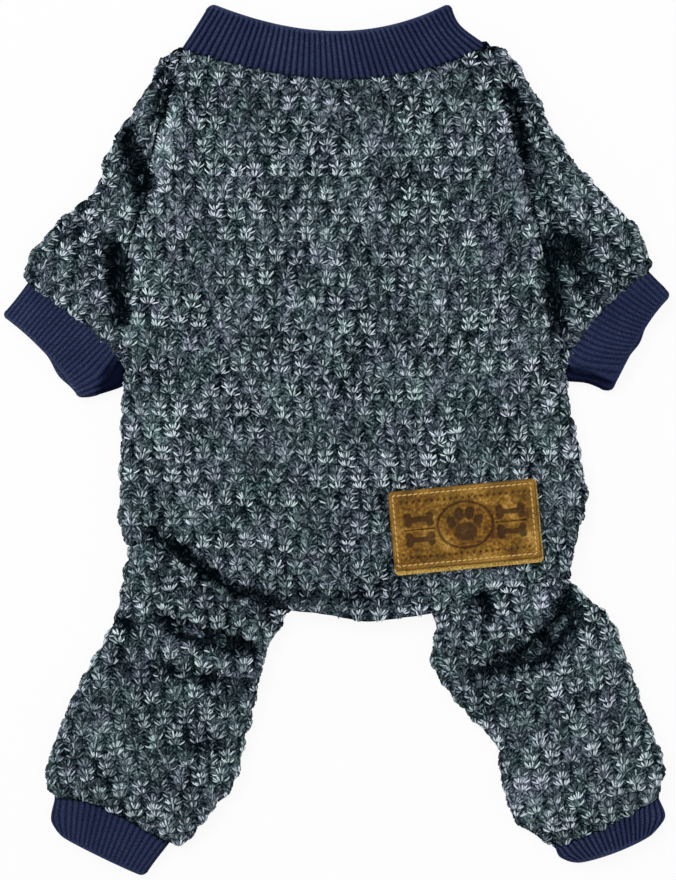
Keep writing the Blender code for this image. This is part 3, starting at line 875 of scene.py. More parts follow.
class Value:
    """A node's output. Python's operators on it add Math nodes."""

    def __init__(self, graph: Graph, socket: bpy.types.NodeSocket) -> None:
        """Wraps a socket of a graph."""
        self.graph = graph
        self.socket = socket

    def of(self, name: str) -> Value:
        """Gives another output of the same node."""
        return self.graph.output(self.socket.node, name)

    def part(self, axis: str) -> Value:
        """Takes the X, Y or Z of a vector."""
        return self.graph.add("ShaderNodeSeparateXYZ", {}, {"Vector": self}).of(axis)

    def math(self, operation: str, *values: Value | float, clamp: bool = False) -> Value:
        """Adds a Math node whose first value is this one."""
        sockets = dict(enumerate((self, *values)))
        return self.graph.add("ShaderNodeMath", {"operation": operation, "use_clamp": clamp}, sockets)

    def __add__(self, other: Value | float) -> Value:
        """Adds."""
        return self.math("ADD", other)

    __radd__ = __add__

    def __mul__(self, other: Value | float) -> Value:
        """Multiplies."""
        return self.math("MULTIPLY", other)

    __rmul__ = __mul__

    def __sub__(self, other: Value | float) -> Value:
        """Subtracts."""
        return self.math("SUBTRACT", other)

    def __rsub__(self, other: float) -> Value:
        """Subtracts this value from a number."""
        return (self * -1) + other

    def __truediv__(self, other: Value | float) -> Value:
        """Divides."""
        return self.math("DIVIDE", other)

    def __pow__(self, other: Value | float) -> Value:
        """Raises to a power."""
        return self.math("POWER", other)

    def __mod__(self, other: Value | float) -> Value:
        """Takes what is left after whole steps, never negative."""
        return self.math("FLOORED_MODULO", other)

    def __abs__(self) -> Value:
        """Drops the sign."""
        return self.math("ABSOLUTE")

    def clamped(self) -> Value:
        """Holds the value from 0 to 1."""
        return self.math("ADD", 0.0, clamp=True)


class Graph:
    """A node tree that nodes are added to."""

    def __init__(self, tree: bpy.types.NodeTree) -> None:
        """Wraps a tree."""
        self.tree = tree

    @classmethod
    def emptied(cls, owner: bpy.types.Material | bpy.types.World) -> Graph:
        """Clears the tree of a material or a world.

        Args:
            owner: The material or the world.

        Returns:
            Its empty tree.
        """
        owner.use_nodes = True
        owner.node_tree.nodes.clear()
        return cls(owner.node_tree)

    def end(self, kind: str, result: Value) -> None:
        """Ends the tree with an output node."""
        self.tree.links.new(result.socket, self.tree.nodes.new(kind).inputs[0])

    def output(self, node: bpy.types.Node, name: str | None = None) -> Value:
        """Finds a node's output in use, the first one if no name is given."""
        found = [socket for socket in node.outputs if socket.enabled and name in (None, socket.name)]
        return Value(self, found[0])

    def add(self, kind: str, settings: dict[str, Any] | None = None,
            sockets: dict[str | int, Any] | None = None) -> Value:
        """Adds a node.

        Args:
            kind: The node's type.
            settings: Its own settings, and "stops" for a ramp's places and colours.
            sockets: Values or links for its inputs, by name or by number.

        Returns:
            Its first output.
        """
        node = self.tree.nodes.new(kind)
        for key, value in (settings or {}).items():
            if key == "stops":
                ramp = node.color_ramp
                while len(ramp.elements) < len(value):
                    ramp.elements.new(0.5)
                for element, (place, colour) in zip(ramp.elements, value):
                    element.position = place
                    element.color = (*colour, 1.0)
            else:
                setattr(node, key, value)
        for key, value in (sockets or {}).items():
            if isinstance(key, int):
                socket = node.inputs[key]
            else:
                socket = next(found for found in node.inputs if found.name == key and found.enabled)
            if isinstance(value, Value):
                self.tree.links.new(value.socket, socket)
            elif socket.type == "RGBA" and len(value) == 3:
                socket.default_value = (*value, 1.0)
            else:
                socket.default_value = value
        return self.output(node)

    def mix(self, factor: Value | float, low: Value | Colour, high: Value | Colour,
            blend: str = "MIX") -> Value:
        """Mixes two colours."""
        return self.add("ShaderNodeMix", {"data_type": "RGBA", "blend_type": blend},
                        {"Factor": factor, "A": low, "B": high})

    def ramp(self, level: Value, stops: Stops) -> Value:
        """Reads a ramp of colours."""
        return self.add("ShaderNodeValToRGB", {"stops": stops}, {"Fac": level})

    def tinted(self, colour: Value, hue: Value, green: Colour, violet: Colour) -> Value:
        """Multiplies a colour by one between a greener and a more violet one."""
        return self.mix(1.0, colour, self.mix(hue.clamped(), green, violet), "MULTIPLY")

    def vector(self, x: Value | float, y: Value | float, z: Value | float = 0.0) -> Value:
        """Makes a vector of three values."""
        return self.add("ShaderNodeCombineXYZ", {}, {"X": x, "Y": y, "Z": z})

    def vector_math(self, operation: str, *values: Value) -> Value:
        """Adds a Vector Math node."""
        return self.add("ShaderNodeVectorMath", {"operation": operation}, dict(enumerate(values)))

    def scaled(self, vector: Value, factor: Value) -> Value:
        """Scales a vector."""
        return self.add("ShaderNodeVectorMath", {"operation": "SCALE"}, {0: vector, "Scale": factor})

    def noise(self, vector: Value, scale: float | Value, detail: float = 2.0,
              dimensions: str = "3D") -> Value:
        """Reads a soft noise, from 0 to 1."""
        return self.add("ShaderNodeTexNoise", {"noise_dimensions": dimensions},
                        {"Vector": vector, "Scale": scale, "Detail": detail})

    def bump(self, height: Value, distance: float, strength: float = 1.0) -> Value:
        """Turns a height into a normal."""
        return self.add("ShaderNodeBump", {},
                        {"Height": height, "Distance": distance, "Strength": strength})

    def object_place(self) -> Value:
        """Reads the place on the object in a material, in metres."""
        return self.add("ShaderNodeTexCoord").of("Object")

    def attribute(self, name: str, output: str = "Fac") -> Value:
        """Reads in a material what the mesh keeps under a name."""
        return self.add("ShaderNodeAttribute", {"attribute_name": name}).of(output)

    def position(self) -> Value:
        """Reads each point's place in Geometry Nodes."""
        return self.add("GeometryNodeInputPosition")

    def kept(self, name: str, kind: str = "FLOAT") -> Value:
        """Reads in Geometry Nodes what each point keeps under a name."""
        return self.add("GeometryNodeInputNamedAttribute", {"data_type": kind}, {"Name": name})

    def rotation(self, x: Value | float, y: Value | float, z: Value | float) -> Value:
        """Makes a turn about the three axes."""
        return self.add("FunctionNodeEulerToRotation", {}, {"Euler": self.vector(x, y, z)})


class Tool(ABC):
    """A Geometry Nodes tree with named inputs."""

    kinds: ClassVar[dict[type, str]] = {float: "NodeSocketFloat", int: "NodeSocketInt"}

    def __init__(self, name: str, inputs: dict[str, float | int | str]) -> None:
        """Makes the tree with its inputs, of which every tool has the geometry and a material.

        Args:
            name: The tree's name.
            inputs: Each input's first value, or the name of its socket type.
        """
        self.tree = bpy.data.node_groups.new(name, "GeometryNodeTree")
        self.graph = Graph(self.tree)
        self.identifiers: dict[str, str] = {}
        face = self.tree.interface
        face.new_socket("Geometry", in_out="INPUT", socket_type="NodeSocketGeometry")
        face.new_socket("Geometry", in_out="OUTPUT", socket_type="NodeSocketGeometry")
        for key, value in {"Material": "NodeSocketMaterial", **inputs}.items():
            kind = value if isinstance(value, str) else self.kinds[type(value)]
            socket = face.new_socket(key, in_out="INPUT", socket_type=kind)
            if not isinstance(value, str):
                socket.default_value = value
            self.identifiers[key] = socket.identifier
        self.source = self.tree.nodes.new("NodeGroupInput")
        self.close(self.made())

    @abstractmethod
    def made(self) -> Value:
        """Adds the nodes that make the geometry."""

    def __getitem__(self, name: str) -> Value:
        """Gives an input inside the tree."""
        return self.graph.output(self.source, name)

    def store(self, geometry: Value, name: str, value: Value, kind: str = "FLOAT") -> Value:
        """Keeps a number, or a vector, on each point under a name."""
        return self.graph.add("GeometryNodeStoreNamedAttribute", {"data_type": kind, "domain": "POINT"},
                              {"Geometry": geometry, "Name": name, "Value": value})

    def moved(self, geometry: Value, **change: Value) -> Value:
        """Moves points by an Offset, or to a Position."""
        return self.graph.add("GeometryNodeSetPosition", {}, {"Geometry": geometry, **change})

    def close(self, geometry: Value) -> None:
        """Ends the tree: shades it smooth, makes the instances real and sets the material.

        Args:
            geometry: What the tree made.
        """
        graph = self.graph
        geometry = graph.add("GeometryNodeSetShadeSmooth", {}, {"Geometry": geometry})
        geometry = graph.add("GeometryNodeRealizeInstances", {}, {"Geometry": geometry})
        graph.end("NodeGroupOutput", graph.add(
            "GeometryNodeSetMaterial", {}, {"Geometry": geometry, "Material": self["Material"]}))

    def run(self, obj: bpy.types.Object, values: dict[str, Any]) -> bpy.types.Object:
        """Runs the tree on an object and keeps the result as plain mesh.

        Args:
            obj: The object whose mesh goes in.
            values: Values for the inputs that don't keep their first ones.

        Returns:
            The same object.
        """
        modifier = obj.modifiers.new(self.tree.name, "NODES")
        modifier.node_group = self.tree
        for key, value in values.items():
            modifier[self.identifiers[key]] = value
        obj.update_tag()
        return settled(obj)


# Finishes.


@dataclass(frozen=True)
class Finish(ABC):
    """A material: its name, and how its nodes are made."""

    name: ClassVar[str]
    roughness: float = 0.9

    @abstractmethod
    def dress(self, graph: Graph) -> dict[str, Any]:
        """Makes the nodes, and returns the Principled shader's sockets."""

    def material(self) -> bpy.types.Material:
        """Makes the material.

        Returns:
            The material, its tree ended.
        """
        made = bpy.data.materials.new(self.name)
        graph = Graph.emptied(made)
        sockets = {"Roughness": self.roughness, **self.dress(graph)}
        graph.end("ShaderNodeOutputMaterial", graph.add("ShaderNodeBsdfPrincipled", {}, sockets))
        return made


@dataclass(frozen=True)
class Yarn(Finish):
    """The marled yarn's pale and dark strands, toned by each strand's own number and darkened by painted
    shade in the cloth's troughs.
    """

    name = "marled yarn"
    stops: Stops = (
        (0.0, (0.006, 0.010, 0.013)),
        (0.25, (0.034, 0.049, 0.058)),
        (0.5, (0.172, 0.216, 0.238)),
        (0.75, (0.440, 0.502, 0.530)),
        (1.0, (0.730, 0.800, 0.825)),
    )

    def dress(self, graph: Graph) -> dict[str, Any]:
        """Tones the strand, tints it, and draws its fibres.

        Args:
            graph: The material's tree.

        Returns:
            The shader's sockets.
        """
        place = graph.object_place()
        fibre = graph.noise(place, 1100.0, 3.0)
        colour = graph.ramp((graph.attribute("tone") + (fibre - 0.5) * 0.5).clamped(), self.stops)
        hue = graph.noise(place, 85.0) * 2.6 - 1.05 + graph.attribute("tint") * 0.5
        colour = graph.tinted(colour, hue, (0.90, 1.03, 0.99), (1.02, 0.97, 1.09))
        return {"Base Color": colour, "Normal": graph.bump(fibre, 0.0004, 0.6), "Specular IOR Level": 0.08}


@dataclass(frozen=True)
class KnitGround(Finish):
    """The darker yarn between the fans, fibres that spread from the same stitches, with painted shade in
    the gaps, troughs and seams.
    """

    name = "knit ground"
    tiers: float = 3.0
    stops: Stops = (
        (0.0, (0.001, 0.003, 0.004)),
        (0.35, (0.019, 0.029, 0.035)),
        (0.7, (0.112, 0.146, 0.164)),
        (1.0, (0.370, 0.430, 0.456)),
    )

    def dress(self, graph: Graph) -> dict[str, Any]:
        """Spreads fibres from every stitch, tones them in patches, and paints shade between the fans and in
        the cloth's troughs, seams and sides.

        Args:
            graph: The material's tree.

        Returns:
            The shader's sockets.
        """
        pitch, height = KNIT.pitch * MM, KNIT.height * MM
        flat = graph.attribute("flat", "Vector")
        row = (flat.part("Y") / height).math("FLOOR")
        column = flat.part("X") / pitch - (row % 2.0) * 0.5 + 0.5
        across = (column % 1.0 - 0.5) * pitch
        up = flat.part("Y") - row * height
        course = height / self.tiers
        rise = up % course + 0.0010
        angle = across.math("ARCTAN2", rise)
        reach = (across * across + rise * rise) ** 0.5
        stitch = column.math("FLOOR") * 7.3 + row * 3.7 + (up / course).math("FLOOR") * 1.9
        fibre = graph.noise(graph.vector(angle * 4.2 + stitch, reach * 260.0 + stitch), 1.0, 3.0, "2D")
        patch = graph.noise(flat, 60.0, 2.0, "2D")
        fleck = graph.noise(flat, 1050.0, 2.0, "2D")
        # Painted shade: darker towards the gaps between fan columns, and where the cloth's painted shade is
        # kept.
        shaded_gap = abs(across) / (pitch / 2)
        level = (fibre * 1.9 - 0.48 + (patch - 0.5) * 0.7 - shaded_gap ** 3.0 * 0.26
                 + (fleck - 0.5) * 1.2 - graph.attribute("hollow") * 0.62).clamped()
        hue = graph.noise(graph.object_place(), 85.0) * 2.6 - 0.8
        colour = graph.tinted(graph.ramp(level, self.stops), hue, (0.86, 1.05, 1.00), (1.02, 0.95, 1.12))
        return {"Base Color": colour, "Normal": graph.bump(fibre, 0.0009), "Specular IOR Level": 0.0}


@dataclass(frozen=True)
class RibKnit(Finish):
    """Navy rib: small stitches up each rib, with painted shade in the grooves and where a tube turns under.
    """

    name = "navy rib"
    stops: Stops = (
        (0.0, (0.0018, 0.0032, 0.015)),
        (0.4, (0.012, 0.018, 0.053)),
        (0.75, (0.027, 0.038, 0.094)),
        (1.0, (0.065, 0.084, 0.155)),
    )

    def dress(self, graph: Graph) -> dict[str, Any]:
        """Tones the crests over the grooves as painted shade, adds each tube's painted shade, and draws the
        stitches as fine chevrons.

        Args:
            graph: The material's tree.

        Returns:
            The shader's sockets.
        """
        place, rib = graph.object_place(), graph.attribute("rib", "Vector")
        side = abs(rib.part("X") % 1.0 - 0.5)
        stitch = ((rib.part("Y") * 1100.0 + side * 1.6) * (2 * math.pi)).math("SINE") * 0.5 + 0.5
        fuzz = graph.noise(place, 1500.0, 3.0)
        patch = graph.noise(place, 60.0)
        # Painted shade: the grooves darker than the crests, and the shade that each tube carries.
        level = (graph.attribute("crest") * 0.78 + stitch * 0.16 + (fuzz - 0.5) * 1.0
                 + (patch - 0.5) * 0.35 - 0.10 - graph.attribute("shade")).clamped()
        return {"Base Color": graph.ramp(level, self.stops),
                "Normal": graph.bump(stitch * 0.6 + fuzz, 0.0004), "Specular IOR Level": 0.05}


@dataclass(frozen=True)
class Leather(Finish):
    """Waxed tan leather, browner in the middle, ochre at its rim, dark where it is pressed."""

    name = "waxed leather"
    stops: Stops = (
        (0.25, (0.060, 0.021, 0.002)),
        (0.45, (0.155, 0.068, 0.006)),
        (0.60, (0.265, 0.130, 0.015)),
        (0.80, (0.480, 0.285, 0.066)),
    )
    olive: Colour = (0.110, 0.082, 0.014)
    rubbed: Colour = (0.350, 0.185, 0.030)
    burnt: Colour = (0.032, 0.011, 0.002)

    def dress(self, graph: Graph) -> dict[str, Any]:
        """Mottles the leather, rubs its rim paler and darkens its pressed marks.

        Args:
            graph: The material's tree.

        Returns:
            The shader's sockets.
        """
        place = graph.object_place()
        cloud = graph.noise(place, 110.0, 4.0)
        grain = graph.noise(place, 700.0, 3.0)
        colour = graph.ramp((cloud * 1.2 - 0.10 + (grain - 0.5) * 0.9).clamped(), self.stops)
        greened = (graph.noise(place, 60.0) * 3.0 - 1.3).clamped() * 0.40
        worn = (graph.attribute("rim") * (cloud * 1.9 - 0.3)).clamped() * 0.75
        pressed = (graph.attribute("pressed") * 0.85).clamped()
        for share, tone in ((greened, self.olive), (worn, self.rubbed), (pressed, self.burnt)):
            colour = graph.mix(share, colour, tone)
        pores = graph.add("ShaderNodeTexVoronoi", {}, {"Vector": place, "Scale": 1500.0})
        return {"Base Color": colour, "Roughness": grain * 0.25 + 0.42, "Specular IOR Level": 0.14,
                "Normal": graph.bump(grain * 0.8 + pores * 0.5 + cloud, 0.0006)}


@dataclass(frozen=True)
class RawEdge(Finish):
    """The bright, fibrous cut edge of the leather's under layer."""

    name = "raw leather edge"
    roughness: float = 0.8
    stops: Stops = (
        (0.3, (0.19, 0.095, 0.010)),
        (0.5, (0.47, 0.28, 0.045)),
        (0.7, (0.72, 0.50, 0.14)),
    )

    def dress(self, graph: Graph) -> dict[str, Any]:
        """Mottles the cut edge."""
        fibre = graph.noise(graph.object_place(), 1300.0, 3.0)
        return {"Base Color": graph.ramp(fibre, self.stops), "Normal": graph.bump(fibre, 0.0006)}


@dataclass(frozen=True)
class Thread(Finish):
    """Gold thread."""

    name = "gold thread"
    roughness: float = 0.5

    def dress(self, graph: Graph) -> dict[str, Any]:
        """Varies the gold a little along the thread.

        Args:
            graph: The material's tree.

        Returns:
            The shader's sockets.
        """
        fibre = graph.noise(graph.object_place(), 1800.0)
        colour = graph.mix(fibre, (0.34, 0.18, 0.030), (0.74, 0.50, 0.17))
        return {"Base Color": colour, "Normal": graph.bump(fibre, 0.0002)}


# The yarn, grown by Geometry Nodes.


class Chance(Enum):
    """What chance varies in the fans: the number of its draw, and how far it goes both ways."""

    FAN_TONE = (1, 0.16)
    STRAND_TURN = (2, 0.24)
    STRAND_LENGTH = (3, 0.26)
    STRAND_TONE = (4, 0.34)
    STRAND_TINT = (5, 0.5)
    STRAND_ASIDE = (6, 0.00035)
    STRAND_UP = (7, 0.0004)
    FAN_ASIDE = (8, 0.0007)
    FAN_UP = (9, 0.0009)
    FAN_TILT = (10, 0.24)


@dataclass(frozen=True)
class Fans:
    """The yarn fans on the knit's face.

    Attributes:
        tiers: Courses of strands in a fan.
        strands: Strands in a course.
        tier: The distance between courses.
        length: A strand's length.
        width: Its width.
        depth: How thick it is.
        arch: How far its middle stands out of the cloth.
        curl: How far its middle bows away from the fan's own.
        spread: How far the outer strands lean, in degrees.
    """

    tiers: int = 3
    strands: int = 7
    tier: float = 3.1
    length: float = 3.3
    width: float = 0.86
    depth: float = 0.85
    arch: float = 0.4
    curl: float = 0.5
    spread: float = 56.0

    def inputs(self) -> dict[str, float | int]:
        """Gives the sizes that the tree starts from."""
        return {
            "Pitch": KNIT.pitch * MM, "Row height": KNIT.height * MM, "Tiers": self.tiers,
            "Strands": self.strands, "Tier height": self.tier * MM, "Strand length": self.length * MM,
            "Strand width": self.width * MM, "Strand depth": self.depth * MM, "Arch": self.arch * MM,
            "Curl": self.curl * MM, "Spread": math.radians(self.spread), "Patchiness": 34.0,
        }


class FanTool(Tool):
    """The tree of the fans: a lattice, strands round each of its points, laid on the cloth."""

    scratch: ClassVar[tuple[str, ...]] = ("angle", "length", "lean", "tilt", "along", "home")

    def __init__(self, fans: Fans) -> None:
        """Makes the tree for fans of some sizes."""
        super().__init__("knit fans", {
            "Cloth": "NodeSocketObject", "Centre": "NodeSocketVector", "Columns": 8, "Rows": 8,
            "Seed": 1, **fans.inputs()})

    def made(self) -> Value:
        """Grows the fans flat, then lays them on the cloth.

        Returns:
            The fans on the cloth, with only their tone and tint.
        """
        fans = self.laid(self.grown(self.rooted(self.trimmed(self.spread(self.lattice())))))
        for name in self.scratch:
            fans = self.graph.add("GeometryNodeRemoveAttribute", {}, {"Geometry": fans, "Name": name})
        return fans

    def random(self, chance: Chance) -> Value:
        """Draws a number for each point, the same on every run."""
        number, reach = chance.value
        return self.graph.add("FunctionNodeRandomValue", {"data_type": "FLOAT"},
                              {"Min": -reach, "Max": reach, "Seed": self["Seed"] * 16 + number})

    def on_cloth(self, value: Value, spot: Value, kind: str = "FLOAT_VECTOR") -> Value:
        """Reads a value of the cloth at a place in the flat cloth.

        Args:
            value: What to read.
            spot: Where, in the flat cloth.
            kind: The value's type.

        Returns:
            The value there.
        """
        cloth = self.graph.add("GeometryNodeObjectInfo", {}, {"Object": self["Cloth"]}).of("Geometry")
        flat = self.graph.kept("flat", "FLOAT_VECTOR")
        return self.graph.add("GeometryNodeSampleUVSurface", {"data_type": kind},
                              {"Mesh": cloth, "Value": value, "UV Map": flat, "Sample UV": spot})

    def lattice(self) -> Value:
        """Makes a point for each fan, a little out of line, with its own tone and tilt.

        Returns:
            A point for each fan.
        """
        graph = self.graph
        points = graph.add("GeometryNodeMeshGrid", {}, {
            "Size X": self["Columns"] * self["Pitch"], "Size Y": self["Rows"] * self["Row height"],
            "Vertices X": self["Columns"] + 1, "Vertices Y": self["Rows"] + 1})
        points = graph.add("GeometryNodeTransform", {},
                           {"Geometry": points, "Translation": self["Centre"]})
        row = (graph.position().part("Y") / self["Row height"]).math("ROUND")
        aside = (row % 2.0) * self["Pitch"] * 0.5 + self.random(Chance.FAN_ASIDE)
        points = self.moved(points, Offset=graph.vector(aside, self.random(Chance.FAN_UP)))
        cloud = graph.noise(graph.position(), self["Patchiness"])
        points = self.store(points, "tone", 0.10 + cloud + self.random(Chance.FAN_TONE))
        return self.store(points, "tilt", self.random(Chance.FAN_TILT))

    def spread(self, lattice: Value) -> Value:
        """Spreads the middles of a fan's strands round each point, tier over tier.

        Args:
            lattice: A point for each fan.

        Returns:
            A point for the middle of each strand.
        """
        graph = self.graph
        points = graph.add("GeometryNodeDuplicateElements", {"domain": "POINT"},
                           {"Geometry": lattice, "Amount": self["Tiers"] * self["Strands"]})
        number = points.of("Duplicate Index")
        tier = ((number + 0.5) / self["Strands"]).math("FLOOR")
        slot = number - tier * self["Strands"]
        lean = slot / (self["Strands"] - 1) * 2.0 - 1.0
        angle = lean * self["Spread"] + graph.kept("tilt") + self.random(Chance.STRAND_TURN)
        length = self["Strand length"] * (0.82 + abs(lean) * 0.16 + self.random(Chance.STRAND_LENGTH))
        last_tier = tier.math("GREATER_THAN", 1.5)
        tone = graph.kept("tone") * (1.0 - last_tier * 0.40) + self.random(Chance.STRAND_TONE)
        tint = self.random(Chance.STRAND_TINT) + 0.5
        for name, value in {"angle": angle, "length": length, "lean": lean, "tint": tint,
                            "tone": tone}.items():
            points = self.store(points, name, value)
        aside = lean * 0.0008 + angle.math("SINE") * (length * 0.5) + self.random(Chance.STRAND_ASIDE)
        up = tier * self["Tier height"] + angle.math("COSINE") * (length * 0.5)
        return self.moved(points, Offset=graph.vector(aside, up + self.random(Chance.STRAND_UP)))

    def trimmed(self, strands: Value) -> Value:
        """Drops the strands that are off the cloth, or that it would stretch or squeeze.

        Args:
            strands: The strands' middles.

        Returns:
            Those that stay.
        """
        graph = self.graph
        angle, length = graph.kept("angle"), graph.kept("length")
        step = graph.vector(angle.math("SINE") * length * 0.5, angle.math("COSINE") * length * 0.5)
        kept = self.on_cloth(graph.kept("inside"), graph.position(), "FLOAT").math("GREATER_THAN", 0.9)
        spots = []
        for operation in ("ADD", "SUBTRACT"):
            end = graph.vector_math(operation, graph.position(), step)
            spots.append(self.on_cloth(graph.position(), end))
            kept = kept * spots[-1].of("Is Valid")
        stretch = graph.vector_math("DISTANCE", *spots).of("Value") / length
        kept = kept * stretch.math("LESS_THAN", 1.6) * stretch.math("GREATER_THAN", 0.5)
        return graph.add("GeometryNodeDeleteGeometry", {"domain": "POINT", "mode": "ALL"},
                         {"Geometry": strands, "Selection": kept.math("LESS_THAN", 0.5)})

    def rooted(self, strands: Value) -> Value:
        """Paints shade on the strands where the cloth carries painted shade, and notes where on the cloth
        each one sits.

        Args:
            strands: The strands' middles.

        Returns:
            The same, with their tone and home.
        """
        graph = self.graph
        # Painted shade: the strands' tone drops by the cloth's painted shade at their middles.
        shaded = self.on_cloth(graph.kept("hollow"), graph.position(), "FLOAT")
        strands = self.store(strands, "tone", graph.kept("tone") - shaded * 0.68)
        home = self.on_cloth(graph.position(), graph.position())
        return self.store(strands, "home", home, "FLOAT_VECTOR")

    def grown(self, strands: Value) -> Value:
        """Puts a strand at each middle, round in section and pointed at its ends.

        Args:
            strands: The strands' middles.

        Returns:
            The strands, still flat.
        """
        graph = self.graph
        strand = graph.add("GeometryNodeMeshUVSphere", {}, {"Segments": 4, "Rings": 3, "Radius": 1.0})
        strand = graph.add("GeometryNodeTransform", {}, {
            "Geometry": strand, "Rotation": graph.rotation(math.pi / 2, math.pi / 4, 0.0)})
        strand = self.store(strand, "along", graph.position().part("Y"))
        size = graph.vector(self["Strand width"] * 0.5, graph.kept("length") * 0.5,
                            self["Strand depth"] * 0.5)
        fans = graph.add("GeometryNodeInstanceOnPoints", {}, {
            "Points": strands, "Instance": strand, "Scale": size,
            "Rotation": graph.rotation(0.0, 0.0, graph.kept("angle") * -1)})
        return graph.add("GeometryNodeRealizeInstances", {}, {"Geometry": fans})

    def laid(self, fans: Value) -> Value:
        """Lays the flat fans on the cloth, each strand arched over its middle.

        Args:
            fans: The flat strands.

        Returns:
            The strands on the cloth.
        """
        graph = self.graph
        along, angle = graph.kept("along"), graph.kept("angle")
        bend = 1.0 - along * along
        height = graph.position().part("Z") + bend * self["Arch"]
        curl = bend * graph.kept("lean") * self["Curl"]
        aside = graph.vector(angle.math("COSINE") * curl, angle.math("SINE") * curl * -1)
        place = graph.vector_math("ADD", graph.position(), aside)
        out = self.on_cloth(graph.kept("outward", "FLOAT_VECTOR"), place)
        spot = graph.vector_math("ADD", self.on_cloth(graph.position(), place), graph.scaled(out, height))
        home = graph.kept("home", "FLOAT_VECTOR")
        away = graph.vector_math("SUBTRACT", spot, home)
        reach = graph.vector_math("LENGTH", away).of("Value")
        held = (self["Strand length"] * 0.8 / (reach + 1e-6)).clamped()
        return self.moved(fans, Position=graph.vector_math("ADD", home, graph.scaled(away, held)))

    def grow(self, name: str, layers: Sequence[Cloth], yarn: bpy.types.Material,
             seed: int) -> bpy.types.Object:
        """Grows the fans on a piece.

        Args:
            name: The new object's name.
            layers: The piece's layers, each with its own places in the flat cloth.
            yarn: The yarn's material.
            seed: What its random draws start from.

        Returns:
            The fans as one mesh.
        """
        parts = []
        cell = np.array([KNIT.pitch, KNIT.height])
        for layer in layers:
            ground = layer.rimmed(Rim.LAPPED)
            holder = make_object("layer", ground.points, ground.faces(), {
                "flat": ground.flat * MM, "outward": ground.normals(), "inside": ground.inside,
                "hollow": hollow(ground)})
            low, high = ground.flat.min((0, 1)), ground.flat.max((0, 1))
            middle = np.round((low + high) / 2 / (cell * [1, 2])) * (cell * [1, 2])
            count = 2 * np.ceil(np.abs(np.stack([high, low]) - middle).max(0) / cell + 1).astype(int)
            made = make_object(name, ground.points[:2, :2], np.array([[0, 1, 3]]), {})
            parts.append(self.run(made, {
                "Cloth": holder, "Material": yarn, "Centre": (*(middle * MM), 0.0),
                "Columns": int(count[0]), "Rows": int(count[1]), "Seed": seed + len(parts)}))
            mesh = holder.data
            bpy.data.objects.remove(holder)
            bpy.data.meshes.remove(mesh)
        return merged(parts, name)


def merged(parts: list[bpy.types.Object], name: str) -> bpy.types.Object:
    """Joins mesh objects into the first of them, under a name.

    Args:
        parts: The objects.
        name: The name of what they make.

    Returns:
        The first of them, now the whole.
    """
    if len(parts) > 1:
        with bpy.context.temp_override(active_object=parts[0], object=parts[0],
                                       selected_editable_objects=parts, selected_objects=parts):
            bpy.ops.object.join()
    parts[0].name = parts[0].data.name = name
    return parts[0]


# The knit pieces.


@dataclass(frozen=True)
class KnitKit:
    """What every knit piece is made with."""

    fans: FanTool
    ground: bpy.types.Material
    yarn: bpy.types.Material


@dataclass
class KnitPiece(ABC):
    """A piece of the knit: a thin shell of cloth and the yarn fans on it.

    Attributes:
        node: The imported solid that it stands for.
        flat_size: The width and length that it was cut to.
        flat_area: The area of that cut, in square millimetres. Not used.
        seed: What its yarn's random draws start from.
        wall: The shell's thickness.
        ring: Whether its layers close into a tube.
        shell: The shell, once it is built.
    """

    node: str
    flat_size: Point
    flat_area: float
    seed: int
    wall: float = 1.6
    ring: bool = False
    shell: bpy.types.Object | None = None

    @abstractmethod
    def layers(self, rim: Rim) -> list[Cloth]:
        """Works out the piece's layers, upper first, with what their cut sides do."""

    def sunk(self, rim: Rim) -> list[Cloth]:
        """Lowers the layers to the knit's ground, so that the yarn ends at the solid's face.

        Args:
            rim: What its cut edges do.

        Returns:
            Its layers, upper first.
        """
        lowered = []
        for layer in self.layers(rim):
            side = steepness(layer.normals())
            relief = KNIT.rise(layer.flat) * (1 + SIDE_RELIEF * side)
            lowered.append(layer.raised(relief + SIDE_FULLNESS * side - YARN_DEPTH))
        return lowered

    def build(self, kit: KnitKit) -> None:
        """Makes the shell and its yarn, and gives both to the frame.

        Args:
            kit: The knit's materials and its yarn's tree.
        """
        whole = joined(self.sunk(Rim.TUCKED), self.ring).rimmed(Rim.TUCKED)
        self.shell = make_object(f"{self.node}_cloth", whole.points, whole.faces(),
                                 {"flat": whole.flat * MM, "hollow": hollow(whole)})
        self.shell.data.materials.append(kit.ground)
        thickness = self.shell.modifiers.new("wall", "SOLIDIFY")
        thickness.thickness = self.wall * MM
        thickness.offset = -1.0
        settled(self.shell)
        yarn = kit.fans.grow(f"{self.node}_yarn", self.sunk(Rim.LAPPED), kit.yarn, self.seed)
        for piece in (self.shell, yarn):
            hand_over(piece, self.node)

    def declare(self) -> None:
        """Turns the size that the piece was cut to into metres, and keeps nothing of it."""
        tuple(side * MM for side in self.flat_size)


TAIL_CURVES = (HIP_SEAM_LEFT, TAIL_HEM, HIP_SEAM_RIGHT)
TAIL_LENGTHS = [float(np.linalg.norm(np.diff(points, axis=0), axis=1).sum()) for points in TAIL_CURVES]
TAIL_SHARES = np.concatenate([[0.0], np.cumsum(TAIL_LENGTHS) / sum(TAIL_LENGTHS)])


def tail_line(share: Array) -> Array:
    """Runs along the body's lower outline: left hip seam, tail hem, right hip seam.

    Args:
        share: Shares across the body, from its left.

    Returns:
        The plan points.
    """
    place = run_along(TAIL_CURVES[0], share / TAIL_SHARES[1])
    for number in (1, 2):
        low, high = TAIL_SHARES[number], TAIL_SHARES[number + 1]
        inside = run_along(TAIL_CURVES[number], np.clip((share - low) / (high - low), 0, 1))
        place = np.where((share > low)[..., None], inside, place)
    return place


